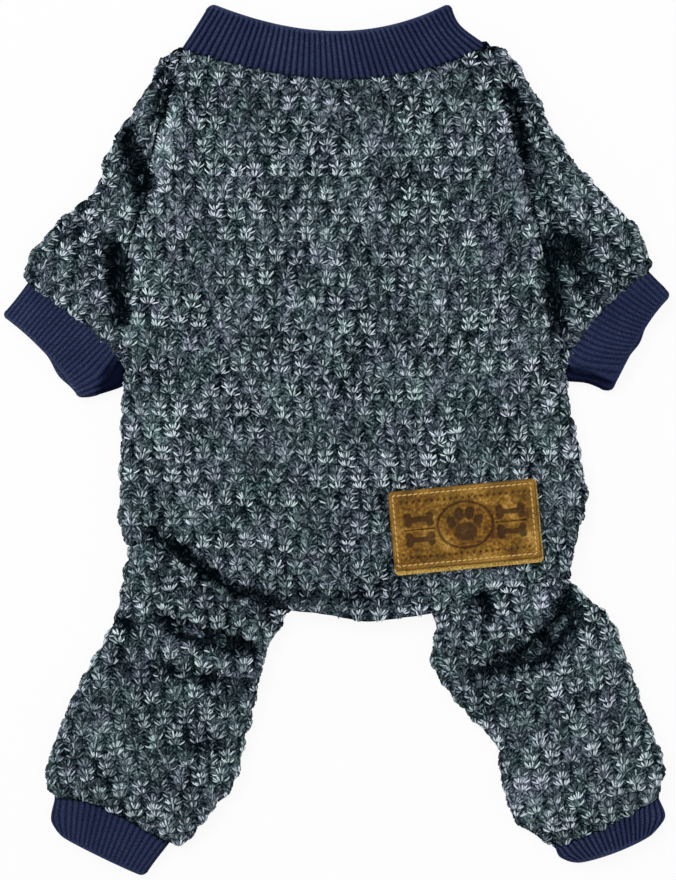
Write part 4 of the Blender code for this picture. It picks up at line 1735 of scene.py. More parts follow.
def body_place(row: Array, share: Array) -> Array:
    """Finds points of the body's plan.

    Args:
        row: Rows of BODY, from the neck.
        share: Shares across the body, from its left.

    Returns:
        The plan points.
    """
    neck, tail = at_row(BODY, 0.0), at_row(BODY, float(HIP))
    near_neck = np.maximum(0.0, 1 - row / NECK_REACH) ** 2
    near_tail = np.maximum(0.0, 1 - (HIP - row) / TAIL_REACH) ** 2
    to_neck = neck.across(share) - neck.straight(share)
    to_tail = tail_line(share) - tail.straight(share)
    return (at_row(BODY, row).straight(share) + near_neck[..., None] * to_neck
            + near_tail[..., None] * to_tail)


@dataclass(frozen=True)
class PatchPlace:
    """Where the leather patch lies on the back."""

    width: float = 62.5
    height: float = 35.2
    x: float = 53.8
    y: float = -36.6
    turn: float = 5.4
    seat: float = 9.2
    thickness: float = 2.0
    corner: float = 1.8

    def local(self, x: Array, y: Array) -> tuple[Array, Array]:
        """Turns plan places into the patch's own."""
        angle = math.radians(self.turn)
        return ((x - self.x) * math.cos(angle) + (y - self.y) * math.sin(angle),
                (y - self.y) * math.cos(angle) - (x - self.x) * math.sin(angle))

    def plan(self, across: Array, along: Array) -> tuple[Array, Array]:
        """Turns the patch's own places into plan places."""
        angle = math.radians(self.turn)
        return (self.x + across * math.cos(angle) - along * math.sin(angle),
                self.y + across * math.sin(angle) + along * math.cos(angle))

    def flatness(self, x: Array, y: Array, margin: float = 7.0) -> Array:
        """Says how flat the cloth is held.

        Args:
            x: Places across.
            y: Places along.
            margin: How far round the patch it is held, and how fast that ends.

        Returns:
            1 under the patch, falling to 0 round it.
        """
        across, along = self.local(x, y)
        over = np.maximum(np.abs(across) - self.width / 2, np.abs(along) - self.height / 2)
        return 1 - smooth((over - margin) / margin)


PATCH = PatchPlace()


def body_top(x: Array, y: Array) -> Array:
    """Gives the height of the back's outer face.

    Args:
        x: Places across.
        y: Places along.

    Returns:
        The heights.
    """
    rows = np.array(BODY)
    left = np.interp(-y, -rows[:, 1], rows[:, 0])
    right = np.interp(-y, -rows[:, 3], rows[:, 2])
    share = np.clip((x - left) / (right - left), 0.0, 1.0)
    height = KNIT_EDGE + crowned(share, KNIT_CROWN - KNIT_EDGE) + fold_rise(x, y)
    flat = PATCH.flatness(x, y)
    return height * (1 - flat) + PATCH.seat * flat


@dataclass
class FoldedPiece(KnitPiece):
    """A knit piece that folds at its sides: its outline, its edges and its rise."""

    @abstractmethod
    def place(self, row: Array, share: Array) -> Array:
        """Finds plan points from rows and shares across."""

    @abstractmethod
    def edge(self, row: Array) -> Array:
        """Gives the rows' heights at their folds."""

    @abstractmethod
    def lift(self, row: Array, share: Array, width: Array, plan: Array) -> Array:
        """Says how far the top rises over the edges' height."""

    def lay(self, rows: Array, columns: Sequence[Column], grain: Grain, cuts: Cuts = (False, False),
            rim: Rim = Rim.TUCKED) -> Cloth:
        """Lays the piece's sections out as a grid of cloth.

        Args:
            rows: The rows, in the piece's own counting.
            columns: The columns.
            grain: How the knit lies.
            cuts: Where the rows end in a cut at their left and right.
            rim: What those cut edges do.

        Returns:
            The cloth.
        """
        nothing = np.zeros_like(rows)
        ends = self.place(rows, nothing), self.place(rows, nothing + 1)
        width = np.linalg.norm(ends[1] - ends[0], axis=-1)
        outward = (ends[1] - ends[0]) / width[:, None]
        edge = self.edge(rows)
        deepest = edge - MOST_SUNK
        shape = len(rows), len(columns)
        points, flat, inside = np.zeros((*shape, 3)), np.zeros((*shape, 2)), np.ones(shape)
        for number, column in enumerate(columns):
            at, height, takes, folded = column.section(width, edge, cuts, rim)
            plan = self.place(rows, at / width)
            rise = self.lift(rows, at / width, width, plan)
            rise = np.maximum(rise, -deepest * np.tanh(-rise / deepest))
            flat[:, number] = grain.flat(plan)
            if column.side in (Side.LEFT, Side.RIGHT):
                left = column.side is Side.LEFT
                cut, away = cuts[0 if left else 1], -outward if left else outward
                start = np.where(cut, SEAM_GAP / 2, edge / 2)
                base = grain.flat(self.place(rows, (start if left else width - start) / width))
                flat[:, number] = base + grain.turned(away[:, 0], away[:, 1]) * folded[:, None]
                inside[:, number] = np.where(cut, column.share, 1.0)
                swell = SIDE_TAKES * math.sin(math.pi * column.share) * np.where(cut, 0.0, rise)
                plan = plan + away * swell[:, None]
            points[:, number, :2] = plan
            points[:, number, 2] = height + takes * rise
            if column.side is Side.BOTTOM:
                points[:, number, 2] += under_rise(plan)
        wanted = Side.BOTTOM if grain.underside else Side.TOP
        probes = [number for number, column in enumerate(columns) if column.side is wanted]
        return Cloth(points, flat, probes[len(probes) // 2], False, grain.underside, inside)


@dataclass
class BackPanel(FoldedPiece):
    """The back, with a flap round each flank that ends under the fold."""

    columns: int = 120
    raglan_rows: int = 92
    flank_rows: int = 66

    def place(self, row: Array, share: Array) -> Array:
        """Finds plan points of the body."""
        return body_place(row, share)

    def edge(self, row: Array) -> Array:
        """Gives the flanks' height, the same all along."""
        return np.full_like(row, KNIT_EDGE)

    def lift(self, row: Array, share: Array, width: Array, plan: Array) -> Array:
        """Raises the back over its flanks, and draws it down at its seams.

        Args:
            row: Rows of its table.
            share: Shares across, from its left.
            width: The rows' widths.
            plan: The plan points there.

        Returns:
            The rises.
        """
        rise = body_top(plan[..., 0], plan[..., 1]) - KNIT_EDGE
        neck = np.linalg.norm(plan - body_place(np.zeros_like(row), share), axis=-1)
        tail = np.linalg.norm(plan - body_place(np.full_like(row, HIP), share), axis=-1)
        away = np.minimum(share, 1 - share) * width
        return (rise + NECK_SEAM.dip(neck) + TAIL_SEAM.dip(tail)
                + RAGLAN_SEAM.dip(away) * np.clip(ARMPIT + 1 - row, 0, 1))

    def layers(self, rim: Rim) -> list[Cloth]:
        """Works out the upper layer and its flaps, down the raglan seams and then the flanks.

        Args:
            rim: What its cut edges do.

        Returns:
            The one layer.
        """
        rows = np.concatenate([np.linspace(NECK_GAP, ARMPIT, self.raglan_rows + 1),
                               np.linspace(ARMPIT + ARMPIT_STEP, HIP - BACK_GAP, self.flank_rows + 1)])
        columns = (columns_on(Side.LEFT, FOLD_CELLS) + columns_on(Side.TOP, self.columns)
                   + columns_on(Side.RIGHT, FOLD_CELLS))
        cut = rows <= ARMPIT
        return [self.lay(rows, columns, Grain(), (cut, cut), rim)]


@dataclass
class BellyPanel(KnitPiece):
    """The layer underneath, between the flaps of the back."""

    columns: int = 90
    row_count: int = 120

    def layers(self, rim: Rim) -> list[Cloth]:
        """Works out the one flat layer.

        Args:
            rim: What its cut edges do.

        Returns:
            The one layer.
        """
        rows = np.linspace(NECK_GAP, HIP - BELLY_GAP, self.row_count)
        section = at_row(BODY, rows)
        width = np.linalg.norm(section.right - section.left, axis=-1)
        inset = (np.where(rows < ARMPIT, SEAM_GAP / 2, KNIT_EDGE / 2 + SEAM_GAP) / width)[:, None]
        shares = inset + (1 - 2 * inset) * np.linspace(0, 1, self.columns + 1)
        plan = body_place(np.repeat(rows[:, None], shares.shape[1], 1), shares)
        points = np.concatenate([plan, under_rise(plan)[..., None]], -1)
        return [Cloth(points, Grain(underside=True).flat(plan), self.columns // 2, underside=True)]


@dataclass
class Sleeve(FoldedPiece):
    """A sleeve folded at its outer side, its two layers cut along the raglan seams."""

    table: tuple[SleeveSection, ...] = ()
    right: bool = False
    turn: float = 0.0
    row_count: int = 84
    columns: int = 24
    cuff_reach: ClassVar[float] = 14.0

    def place(self, row: Array, share: Array) -> Array:
        """Finds plan points between the raglan seam and the outer fold.

        Args:
            row: Rows of its table.
            share: Shares across, from its left.

        Returns:
            The plan points.
        """
        section = at_row(self.table, row)
        side = at_row(BODY, section.seam)
        fold = np.stack([section.fold_x, section.fold_y], -1)
        return bowed(side.right if self.right else side.left, fold, share, section.bow)

    def edge(self, row: Array) -> Array:
        """Gives the outer fold's height."""
        return at_row(self.table, row).edge

    def lift(self, row: Array, share: Array, width: Array, plan: Array) -> Array:
        """Raises the sleeve away from its fold, and draws it down at its seams.

        Args:
            row: Rows of its table.
            share: Shares across, from its left.
            width: The rows' widths.
            plan: The plan points there.

        Returns:
            The rises.
        """
        section = at_row(self.table, row)
        rise = (section.crown - section.edge) * (1 - share**4) + fold_rise(plan[..., 0], plan[..., 1])
        hem = self.place(np.full_like(row, len(self.table) - 1), share)
        cuff = np.linalg.norm(plan - hem, axis=-1)
        raglan = SLEEVE_SEAM.dip(share * width) * smooth(cuff / self.cuff_reach)
        return rise + raglan + CUFF_SEAM.dip(cuff)

    def layers(self, rim: Rim) -> list[Cloth]:
        """Works out the upper layer with its fold, and the lower layer.

        Args:
            rim: What its cut edges do.

        Returns:
            Its layers, upper first.
        """
        seams = [section.seam for section in self.table]
        spread = np.linspace(NECK_GAP, ARMPIT - SLEEVE_GAP, self.row_count)
        rows = np.interp(spread, seams, range(len(seams)))
        above = columns_on(Side.TOP, self.columns, True)[:-1] + columns_on(Side.RIGHT, FOLD_CELLS)
        below = columns_on(Side.BOTTOM, self.columns, True)[1:]
        return [self.lay(rows, columns, Grain(self.turn, under), (True, False))
                for columns, under in ((above, False), (below, True))]


@dataclass
class Leg(FoldedPiece):
    """A rear leg: a flattened tube from its hip seam to its cuff."""

    ring: bool = True
    table: tuple[Section, ...] = ()
    hip_seam: tuple[Point, ...] = ()
    turn: float = 0.0
    row_count: int = 78
    columns: int = 46

    def place(self, row: Array, share: Array) -> Array:
        """Finds plan points between the leg's folds, drawn on to the hip seam near it.

        Args:
            row: Rows of its table.
            share: Shares across, from its left.

        Returns:
            The plan points.
        """
        near_hip = np.maximum(0.0, 1 - row / LEG_REACH) ** 2
        chord = Section(*self.hip_seam[0], *self.hip_seam[-1]).straight(share)
        to_seam = run_along(self.hip_seam, share) - chord
        return at_row(self.table, row).across(share) + near_hip[..., None] * to_seam

    def edge(self, row: Array) -> Array:
        """Gives the folds' height."""
        return at_row(self.table, row).edge

    def lift(self, row: Array, share: Array, width: Array, plan: Array) -> Array:
        """Raises the leg between its folds, and draws it down at the hip seam.

        Args:
            row: Rows of its table.
            share: Shares across, from its left.
            width: The rows' widths.
            plan: The plan points there.

        Returns:
            The rises.
        """
        section = at_row(self.table, row)
        hip = np.linalg.norm(plan - self.place(np.zeros_like(row), share), axis=-1)
        rise = crowned(share, section.crown - section.edge)
        return rise + fold_rise(plan[..., 0], plan[..., 1]) + HIP_SEAM.dip(hip)

    def layers(self, rim: Rim) -> list[Cloth]:
        """Works out the upper layer with both folds, and the lower layer.

        Args:
            rim: What its cut edges do.

        Returns:
            Its layers, upper first.
        """
        rows = np.linspace(NECK_GAP, len(self.table) - 1, self.row_count)
        above = (columns_on(Side.LEFT, FOLD_CELLS) + columns_on(Side.TOP, self.columns)
                 + columns_on(Side.RIGHT, FOLD_CELLS))
        below = columns_on(Side.BOTTOM, self.columns)
        return [self.lay(rows, columns, Grain(self.turn, under))
                for columns, under in ((above, False), (below, True))]


# The ribbed pieces.


@dataclass(frozen=True)
class Ribs:
    """The rib's relief.

    Attributes:
        pitch: The distance between two ribs.
        depth: How deep the grooves are.
        narrowness: The power of the sine between them: less than 1 narrows the grooves.
    """

    pitch: float = 2.33
    depth: float = 1.0
    narrowness: float = 0.7


RIBS = Ribs()


class RibTool(Tool):
    """The tree of the ribs: it sinks the grooves between them round a tube."""

    def __init__(self) -> None:
        """Makes the tree."""
        super().__init__("ribs", {"Depth": RIBS.depth * MM, "Narrowness": RIBS.narrowness})

    def made(self) -> Value:
        """Sinks the grooves, less so where the tube is smooth.

        Returns:
            The tube with its ribs.
        """
        graph = self.graph
        rib = graph.kept("rib", "FLOAT_VECTOR")
        crest = abs((rib.part("X") * math.pi).math("SINE")) ** self["Narrowness"]
        crest = 1.0 - (1.0 - crest) * (1.0 - rib.part("Z"))
        tube = self.store(self["Geometry"], "crest", crest)
        sunk = (graph.kept("crest") - 1.0) * self["Depth"]
        return self.moved(tube, Offset=graph.scaled(graph.kept("outward", "FLOAT_VECTOR"), sunk))


@dataclass
class RibTube:
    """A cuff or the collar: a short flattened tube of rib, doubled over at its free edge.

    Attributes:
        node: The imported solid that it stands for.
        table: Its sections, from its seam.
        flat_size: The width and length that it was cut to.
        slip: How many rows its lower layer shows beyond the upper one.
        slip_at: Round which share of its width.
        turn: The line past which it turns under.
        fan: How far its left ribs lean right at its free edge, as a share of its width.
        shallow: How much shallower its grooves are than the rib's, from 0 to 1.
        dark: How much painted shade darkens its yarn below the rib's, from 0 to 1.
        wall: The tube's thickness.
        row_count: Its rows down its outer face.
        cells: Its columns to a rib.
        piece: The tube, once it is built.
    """

    node: str
    table: tuple[Section, ...]
    flat_size: Point
    slip: float = 0.0
    slip_at: float = 0.5
    turn: Turn = NO_TURN
    fan: float = 0.0
    shallow: float = 0.35
    dark: float = 0.0
    wall: float = 1.7
    row_count: int = 16
    cells: int = 6
    piece: bpy.types.Object | None = None
    hem_steps: ClassVar[int] = 4
    hem_smooth: ClassVar[float] = 1.6
    slip_width: ClassVar[float] = 0.13
    fan_width: ClassVar[float] = 0.14
    under: ClassVar[float] = 1.8
    under_drop: ClassVar[float] = 1.6
    corner: ClassVar[float] = 2.0

    @property
    def last(self) -> int:
        """Gives the free edge's row."""
        return len(self.table) - 1

    def section_at(self, row: Array, share: Array) -> Array:
        """Finds points of the tube's plan straight from its sections."""
        return at_row(self.table, row).across(share)

    def place(self, row: Array, share: Array) -> Array:
        """Finds points of the tube's plan, with its ribs straight away from its ends.

        Args:
            row: Rows of its table, under 0 where it goes in under the knit.
            share: Shares of its width, from its left.

        Returns:
            The plan points.
        """
        down = row / self.last
        ahead = share + self.fan * (1 - share) * smooth(share / self.fan_width) * np.clip(down, 0, 1)
        first, end = self.section_at(row * 0.0, share), self.section_at(row * 0.0 + self.last, ahead)
        straight = first + (end - first) * down[..., None]
        weight = (2 * share - 1) ** 6 * (row > 0)
        return straight + (self.section_at(np.maximum(row, 0), share) - straight) * weight[..., None]

    def columns(self) -> list[Column]:
        """Lists the columns, a few to each rib.

        Returns:
            The columns round the tube.
        """
        middle = self.table[len(self.table) // 2]
        width = math.dist(middle[:2], middle[2:4])
        top = round((width - RIB_EDGE) / RIBS.pitch) * self.cells
        side = round(math.pi * RIB_EDGE / 2 / RIBS.pitch) * self.cells
        return (columns_on(Side.LEFT, side) + columns_on(Side.TOP, top)
                + columns_on(Side.RIGHT, side) + columns_on(Side.BOTTOM, top))

    def outer(self) -> Cloth:
        """Works out the tube's outer face.

        Returns:
            The outer face as a closed grid.
        """
        columns, last = self.columns(), self.last
        length = np.linalg.norm(np.diff(self.place(np.array([0.0, last]), np.array([0.5, 0.5])), axis=0))
        start = -self.under / length * last
        rows = np.concatenate([[start, start / 2], np.linspace(0.0, last, self.row_count)])
        nothing = np.zeros_like(rows)
        width = np.linalg.norm(self.place(rows, nothing + 1) - self.place(rows, nothing), axis=-1)
        edge = RIB_EDGE - self.under_drop * smooth(rows / start)
        points = np.zeros((len(rows), len(columns), 3))
        for number, column in enumerate(columns):
            at, height, takes, _ = column.section(width, edge, (False, False), Rim.TUCKED)
            share = at / width
            cornered = np.clip(1 - np.minimum(at, width - at) / self.corner, 0, 1)
            pulled = self.corner * (1 - np.sqrt(1 - cornered**2)) / length
            reached = np.where(rows > 0, rows * (1 - pulled), rows)
            if column.side is Side.BOTTOM:
                near = np.exp(-(((share - self.slip_at) / self.slip_width) ** 2))
                reached = rows + self.slip * (rows / last) ** 2 * near
            plan = self.place(reached, share)
            rise = crowned(share, RIB_CROWN - RIB_EDGE) - self.turn.amount(plan) * self.turn.drop
            points[:, number, :2] = plan
            points[:, number, 2] = height + takes * rise
        probes = [number for number, column in enumerate(columns) if column.side is Side.TOP]
        flat = np.zeros((len(rows), len(columns), 2))
        flat[..., 0] = np.arange(len(columns)) / self.cells
        flat[1:, :, 1] = np.cumsum(np.linalg.norm(np.diff(points, axis=0), axis=-1), 0)
        return Cloth(points, flat, probes[len(probes) // 2], True)

    def doubled(self, outer: Cloth) -> Cloth:
        """Carries the outer face over the free edge and back down inside.

        Args:
            outer: The outer face.

        Returns:
            The outer face, the hem and the inner face as one grid.
        """
        inner = outer.points - outer.normals() * self.wall
        onward = unit(outer.points[-1] - outer.points[-2])
        middle = (outer.points[-1] + inner[-1]) / 2
        angles = np.linspace(0, math.pi, self.hem_steps + 1)[1:-1, None, None]
        hem = (middle + (outer.points[-1] - middle) * np.cos(angles)
               + onward * (self.wall / 2 * np.sin(angles)))
        edge = np.repeat(outer.flat[-1:], len(hem), 0)
        return Cloth(np.concatenate([outer.points, hem, inner[::-1]]),
                     np.concatenate([outer.flat, edge, outer.flat[::-1]]), outer.probe, True)

    def build(self, tool: RibTool, yarn: bpy.types.Material) -> None:
        """Makes the tube and gives it to the frame.

        Args:
            tool: The rib's tree.
            yarn: The rib's material.
        """
        whole = self.doubled(self.outer())
        flat = whole.flat
        from_edge = flat[..., 1].max(0) - flat[..., 1]
        smoothness = np.maximum(1 - smooth(from_edge / self.hem_smooth), self.shallow)
        # Painted shade: the side that turns under darkens by the turn's shade, and the whole tube by dark.
        shade = self.turn.amount(whole.points[..., :2]) * self.turn.shade + self.dark
        self.piece = make_object(f"{self.node}_rib", whole.points, whole.faces(loop=True), {
            "rib": np.stack([flat[..., 0], flat[..., 1] * MM, smoothness], -1),
            "outward": whole.normals(), "shade": shade})
        tool.run(self.piece, {"Material": yarn})
        hand_over(self.piece, self.node)

    def declare(self) -> None:
        """Turns the size that the tube was cut to into metres, and keeps nothing of it."""
        tuple(side * MM for side in self.flat_size)


# The patch.


@dataclass(frozen=True)
class Design:
    """The pressed marks: a paw print in an oval ring, bones at its sides and rows of dots.

    Attributes:
        across: Places across the patch.
        along: Places up it.
    """

    across: Array
    along: Array
    pads: ClassVar[tuple[tuple[float, ...], ...]] = (
        (0.0, -1.9, 4.9, 3.9, 0), (-5.7, 2.5, 1.8, 2.6, 24), (-2.1, 5.6, 1.9, 2.8, 7),
        (2.1, 5.6, 1.9, 2.8, -7), (5.7, 2.5, 1.8, 2.6, -24))
    side: ClassVar[float] = 19.2
    levels: ClassVar[Point] = (4.9, -3.4)

    def blob(self, x: float, y: float, wide: float, high: float, turn: float = 0.0) -> Array:
        """Presses an oval.

        Args:
            x: Its middle across.
            y: Its middle up the patch.
            wide: Half its width.
            high: Half its height.
            turn: How far it is turned, in degrees.

        Returns:
            How deeply it presses each place, from 0 to 1.
        """
        angle = math.radians(turn)
        right = (self.across - x) * math.cos(angle) + (self.along - y) * math.sin(angle)
        up = (self.along - y) * math.cos(angle) - (self.across - x) * math.sin(angle)
        return 1 - smooth((np.hypot(right / wide, up / high) - 0.86) / 0.28)

    def bone(self, x: float, y: float) -> list[Array]:
        """Presses a bone: its shaft and its four knobs.

        Args:
            x: Its middle across.
            y: Its middle up the patch.

        Returns:
            A mark for each of its parts.
        """
        shaft = np.maximum(np.abs(self.across - x) / 4.2, np.abs(self.along - y) / 1.2)
        knobs = [self.blob(x + 4.6 * end, y + 1.4 * knob, 1.65, 1.65)
                 for end in (-1, 1) for knob in (-1, 1)]
        return [1 - smooth((shaft - 0.86) / 0.2), *knobs]

    @staticmethod
    def rule(distance: Array, half: float) -> Array:
        """Presses a line where the distance from its middle is less than half its width."""
        return 1 - smooth((np.abs(distance) - half) / 0.3)

    def dots(self) -> Array:
        """Presses a row of dots along the upper and the lower edge.

        Returns:
            How deeply they press each place, from 0 to 1.
        """
        spots = (self.across / 2.6 + 0.5) % 1.0 - 0.5
        edge_row = np.abs(np.abs(self.along - 0.9) - 11.6) / 0.5
        dots = 1 - smooth((np.hypot(spots * 2.6 / 0.6, edge_row) - 0.8) / 0.4)
        return dots * (np.abs(self.across) < 26.0)

    def pressed(self) -> Array:
        """Says how deeply each place is pressed, from 0 to 1.

        Returns:
            The deepest mark at each place.
        """
        marks = [self.blob(*pad) for pad in self.pads]
        marks.append(self.rule((np.hypot(self.across / 11.6, (self.along - 1.0) / 9.6) - 1) * 10, 0.3))
        for side in (-self.side, self.side):
            for level in self.levels:
                marks += self.bone(side, level)
            marks.append(self.rule(self.along - 0.75, 0.18) * (np.abs(self.across - side) < 6.6))
        return np.max([*marks, self.dots()], axis=0)


@dataclass(frozen=True)
class Slab:
    """A layer of leather with round corners, in the patch's own frame.

    Attributes:
        name: Its object's name.
        low: Its lowest corner.
        high: Its highest corner.
        bottom: Its underside's height over the cloth.
        top: Its face's height over the cloth.
        cell: The size of its faces.
        marked: Whether its face carries the pressed marks and the stitches' groove.
    """

    name: str
    low: Point
    high: Point
    bottom: float
    top: float
    cell: float
    marked: bool

    def grid(self, corner: float) -> tuple[Array, Array]:
        """Lays its points out, drawn in at the corners.

        Args:
            corner: The corners' radius.

        Returns:
            The points, and how far each one is from the slab's rim.
        """
        size, middle = np.subtract(self.high, self.low), np.add(self.high, self.low) / 2
        shares = [np.linspace(-1, 1, int(count) + 1) for count in np.round(size / self.cell)]
        flat = np.stack(np.meshgrid(*shares, indexing="ij"), -1) * size / 2
        inner = size / 2 - corner
        over = np.maximum(np.abs(flat) - inner, 0)
        away = np.maximum(np.linalg.norm(over, axis=-1), 1e-9)
        drawn_in = inner + over * (over.max(-1) / away)[..., None]
        flat = np.where(over.min(-1, keepdims=True) > 0, np.sign(flat) * drawn_in, flat)
        over = np.maximum(np.abs(flat) - inner, 0)
        rim = np.where(over.min(-1) > 0, corner - np.linalg.norm(over, axis=-1),
                       (size / 2 - np.abs(flat)).min(-1))
        return flat + middle, rim


def box_faces(rows: int, columns: int) -> Array:
    """Lists the quads of a grid, of the same grid numbered on under it, and of their sides.

    Args:
        rows: The grid's rows.
        columns: Its columns.

    Returns:
        The four corners' numbers of each face.
    """
    size = rows * columns
    number = np.arange(size).reshape(rows, columns)
    top = quads(rows, columns)
    ring = np.concatenate([number[0], number[1:, -1], number[-1, -2::-1], number[-2:0:-1, 0]])
    after = np.roll(ring, -1)
    sides = np.stack([ring, after, after + size, ring + size], -1)
    return np.concatenate([top, top[:, ::-1] + size, sides])


@dataclass
class Patch:
    """The leather patch: an under layer with a raw edge, a pressed face, and its stitches."""

    place: PatchPlace = PATCH
    under_shows: float = 1.9
    side_shows: float = 0.7
    stitch_inset: float = 1.95
    press_depth: float = 0.5

    def height(self, x: Array, y: Array) -> Array:
        """Gives the cloth's height under the patch."""
        return body_top(x, y) + SEAM_GAP

    def layer(self, slab: Slab, material: bpy.types.Material) -> bpy.types.Object:
        """Makes a layer of leather with a soft upper edge.

        Args:
            slab: Its place and sizes.
            material: Its material.

        Returns:
            The layer.
        """
        flat, rim = slab.grid(self.place.corner)
        across, along = flat[..., 0], flat[..., 1]
        x, y = self.place.plan(across, along)
        base = self.height(x, y)
        pressed = Design(across, along).pressed() * slab.marked
        groove = np.exp(-(((rim - self.stitch_inset) / 0.55) ** 2)) * slab.marked
        wave = (0.10 * np.sin(across / 5.1 + along / 7.3) + 0.06 * np.sin(across / 2.3)) * slab.marked
        soft = 0.35 * (1 - smooth(rim / 0.9))
        upper = base + slab.top - soft - pressed * self.press_depth - groove * 0.22 + wave
        points = np.stack([np.stack([x, y, z], -1) for z in (upper, base + slab.bottom)])
        pressed = np.maximum(pressed, 0.9 * (1 - smooth(rim / 0.8)) * slab.marked)
        rub = 1 - smooth((rim - 0.5) / 4.0)
        made = make_object(slab.name, points, box_faces(*rim.shape), {
            "rim": np.tile(rub.ravel(), 2), "pressed": np.tile(pressed.ravel(), 2)})
        made.data.materials.append(material)
        made.data.set_sharp_from_angle(angle=math.radians(60))
        return made

    def route(self, face: Slab) -> bpy.types.Object:
        """Lays out the line that the stitches follow.

        Args:
            face: The layer that they go round.

        Returns:
            The line, in steps of about a millimetre.
        """
        low, high = np.add(face.low, self.stitch_inset), np.subtract(face.high, self.stitch_inset)
        corners = [low, (high[0], low[1]), high, (low[0], high[1])]
        flat = np.concatenate([
            np.linspace(here, after, max(2, round(math.dist(here, after))), endpoint=False)
            for here, after in zip(corners, corners[1:] + corners[:1])])
        x, y = self.place.plan(flat[:, 0], flat[:, 1])
        points = np.stack([x, y, self.height(x, y) + face.top - 0.12], -1)
        mesh = bpy.data.meshes.new("patch_thread")
        after = np.roll(np.arange(len(points)), -1)
        mesh.from_pydata((points * MM).tolist(), list(enumerate(after.tolist())), [])
        return link("patch_thread", mesh)

    def build(self, tool: Tool) -> None:
        """Makes the patch's pieces and gives them to the frame.

        Args:
            tool: The stitches' tree.
        """
        high = self.place.width / 2, self.place.height / 2
        low = -high[0], -high[1]
        under = Slab("patch_under", low, high, 0.0, 0.95, 1.0, False)
        face = Slab("patch_face", (low[0], low[1] + self.under_shows), (high[0] - self.side_shows, high[1]),
                    1.05, self.place.thickness, 0.42, True)
        pieces = [self.layer(under, RawEdge().material()), self.layer(face, Leather().material()),
                  tool.run(self.route(face), {"Material": Thread().material()})]
        for piece in pieces:
            hand_over(piece, "patch")


class StitchTool(Tool):
    """The tree of the stitches: a short slanted thread at every step of a line."""

    def __init__(self) -> None:
        """Makes the tree."""
        super().__init__("stitches", {"Step": 0.0023, "Stitch length": 0.0021, "Thickness": 0.00082,
                                      "Slant": 0.16})

    def made(self) -> Value:
        """Lays the threads along the line.

        Returns:
            The threads, still instances.
        """
        graph = self.graph
        route = graph.add("GeometryNodeMeshToCurve", {}, {"Mesh": self["Geometry"]})
        beads = graph.add("GeometryNodeCurveToPoints", {"mode": "LENGTH"},
                          {"Curve": route, "Length": self["Step"]})
        thread = graph.add("GeometryNodeMeshUVSphere", {}, {"Segments": 6, "Rings": 6, "Radius": 0.5})
        turn = graph.add("FunctionNodeAlignRotationToVector", {"axis": "Z"},
                         {"Vector": beads.of("Tangent")})
        turn = graph.add("FunctionNodeRotateRotation", {"rotation_space": "GLOBAL"},
                         {"Rotation": turn, "Rotate By": graph.rotation(0.0, 0.0, self["Slant"])})
        size = graph.vector(self["Thickness"], self["Thickness"], self["Stitch length"])
        return graph.add("GeometryNodeInstanceOnPoints", {},
                         {"Points": beads, "Instance": thread, "Rotation": turn, "Scale": size})


# The studio.


def seen_by_camera(graph: Graph) -> Value:
    """Says whether a ray comes from the camera, straight or by a mirror, and not from the light."""
    path = graph.add("ShaderNodeLightPath")
    return (path + path.of("Is Glossy Ray") + path.of("Is Transmission Ray")).clamped()


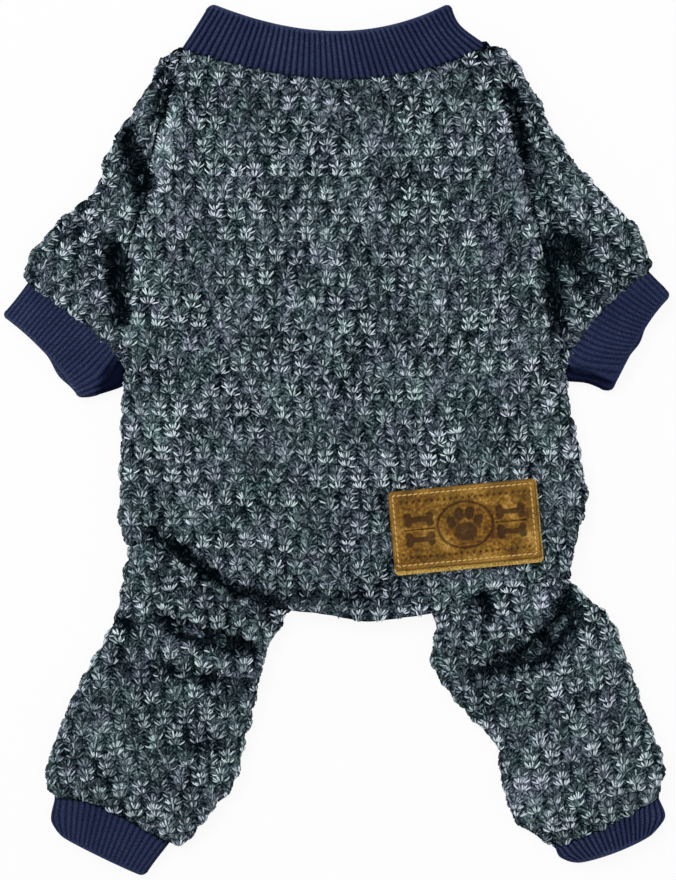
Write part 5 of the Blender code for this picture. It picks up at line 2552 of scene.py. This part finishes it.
@dataclass(frozen=True)
class Studio:
    """A white floor, soft light from above the left shoulder, and a camera straight above.

    Attributes:
        span: The width that the picture shows at the garment's outline.
        distance: How far the camera is from there.
        look_x: The picture's middle across.
        look_y: Its middle along.
        silhouette: The outline's height.
        sensor: The camera's sensor.
    """

    span: float = 369.6
    distance: float = 1500.0
    look_x: float = 0.42
    look_y: float = -0.21
    silhouette: float = 4.0
    sensor: float = 36.0

    def build(self) -> None:
        """Makes the floor, the lights, the world and the camera."""
        self.floor()
        self.lamp("key", (-0.9, 1.0, 1.5), 1.0, 26.0)
        self.lamp("fill", (1.2, -0.6, 1.6), 1.6, 5.0)
        self.world()
        self.camera()

    def floor(self) -> None:
        """Makes the floor, which shows soft shadows on white."""
        mesh = bpy.data.meshes.new("floor")
        mesh.from_pydata([(-3, -3, 0), (3, -3, 0), (3, 3, 0), (-3, 3, 0)], [], [(0, 1, 2, 3)])
        made = link("floor", mesh)
        made.location.z = -0.0002
        material = bpy.data.materials.new("white floor")
        graph = Graph.emptied(material)
        matt = graph.add("ShaderNodeBsdfDiffuse", {}, {"Color": (0.8, 0.8, 0.8)})
        bright = graph.add("ShaderNodeEmission", {}, {"Color": (1.0, 1.0, 1.0), "Strength": 1.0})
        mixed = graph.add("ShaderNodeMixShader", {}, {0: seen_by_camera(graph) * 0.92, 1: matt, 2: bright})
        graph.end("ShaderNodeOutputMaterial", mixed)
        mesh.materials.append(material)

    @staticmethod
    def lamp(name: str, place: tuple[float, float, float], size: float, power: float) -> None:
        """Hangs a square lamp that faces the garment.

        Args:
            name: Its name.
            place: Where it hangs, in metres.
            size: Its side, in metres.
            power: Its power, in watts.
        """
        light = bpy.data.lights.new(name, "AREA")
        light.size = size
        light.energy = power
        lamp = link(name, light)
        lamp.location = place
        lamp.rotation_euler = lamp.location.to_track_quat("Z", "Y").to_euler()

    @staticmethod
    def world() -> None:
        """Makes a white surround that lights the garment softly from all sides."""
        world = bpy.data.worlds.new("white surround")
        bpy.context.scene.world = world
        graph = Graph.emptied(world)
        sky = graph.add("ShaderNodeBackground", {}, {
            "Color": (1.0, 1.0, 1.0), "Strength": seen_by_camera(graph) * 0.46 + 0.54})
        graph.end("ShaderNodeOutputWorld", sky)

    def camera(self) -> None:
        """Hangs the camera straight above the garment, its top towards +Y."""
        data = bpy.data.cameras.new("camera")
        data.type = "PERSP"
        data.sensor_width = self.sensor
        data.lens = self.sensor * self.distance / self.span
        data.clip_end = 20.0
        camera = link("camera", data)
        camera.location = (self.look_x * MM, self.look_y * MM, (self.distance + self.silhouette) * MM)
        bpy.context.scene.camera = camera


def knit_pieces() -> list[KnitPiece]:
    """Lists the knit pieces, with the sizes that they were cut to."""
    return [
        BackPanel("back_panel", (212.0, 245.0), 43000.0, 11),
        BellyPanel("belly_panel", (190.0, 240.0), 38000.0, 21),
        Sleeve("sleeve_left", (110.0, 135.0), 8600.0, 31, table=SLEEVE_LEFT, turn=33.0),
        Sleeve("sleeve_right", (110.0, 135.0), 8600.0, 41, table=SLEEVE_RIGHT, right=True, turn=-33.0),
        Leg("leg_left", (175.0, 115.0), 17500.0, 51, table=LEG_LEFT, hip_seam=HIP_SEAM_LEFT, turn=-7.0),
        Leg("leg_right", (170.0, 112.0), 17000.0, 61, table=LEG_RIGHT, hip_seam=HIP_SEAM_RIGHT,
            turn=-9.0),
    ]


def rib_pieces() -> list[RibTube]:
    """Lists the ribbed pieces, with the sizes that they were cut to."""
    return [
        # The dark of the front right and rear left cuffs is painted shade.
        RibTube("collar", COLLAR, (240.0, 22.6), shallow=0.0),
        RibTube("cuff_front_left", CUFF_FRONT_LEFT, (113.0, 21.8), 0.28, 0.7, TURN_FRONT_LEFT),
        RibTube("cuff_front_right", CUFF_FRONT_RIGHT, (113.0, 19.8), 0.2, 0.4, TURN_FRONT_RIGHT, 0.17,
                shallow=0.45, dark=0.11),
        RibTube("cuff_rear_left", CUFF_REAR_LEFT, (102.0, 19.0), dark=0.06),
        RibTube("cuff_rear_right", CUFF_REAR_RIGHT, (98.0, 13.3), shallow=0.08),
    ]


def main() -> None:
    """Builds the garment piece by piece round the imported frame."""
    logging.basicConfig(level=logging.INFO, format="%(name)s: %(message)s")
    for old in list(bpy.data.objects):
        bpy.data.objects.remove(old)
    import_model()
    bpy.context.scene.view_settings.view_transform = "Standard"
    Studio().build()
    kit = KnitKit(FanTool(Fans()), KnitGround().material(), Yarn().material())
    for piece in knit_pieces():
        piece.build(kit)
        piece.declare()
    rib_tool, rib = RibTool(), RibKnit().material()
    for tube in rib_pieces():
        tube.build(rib_tool, rib)
        tube.declare()
    Patch().build(StitchTool())


if __name__ == "__main__":
    main()
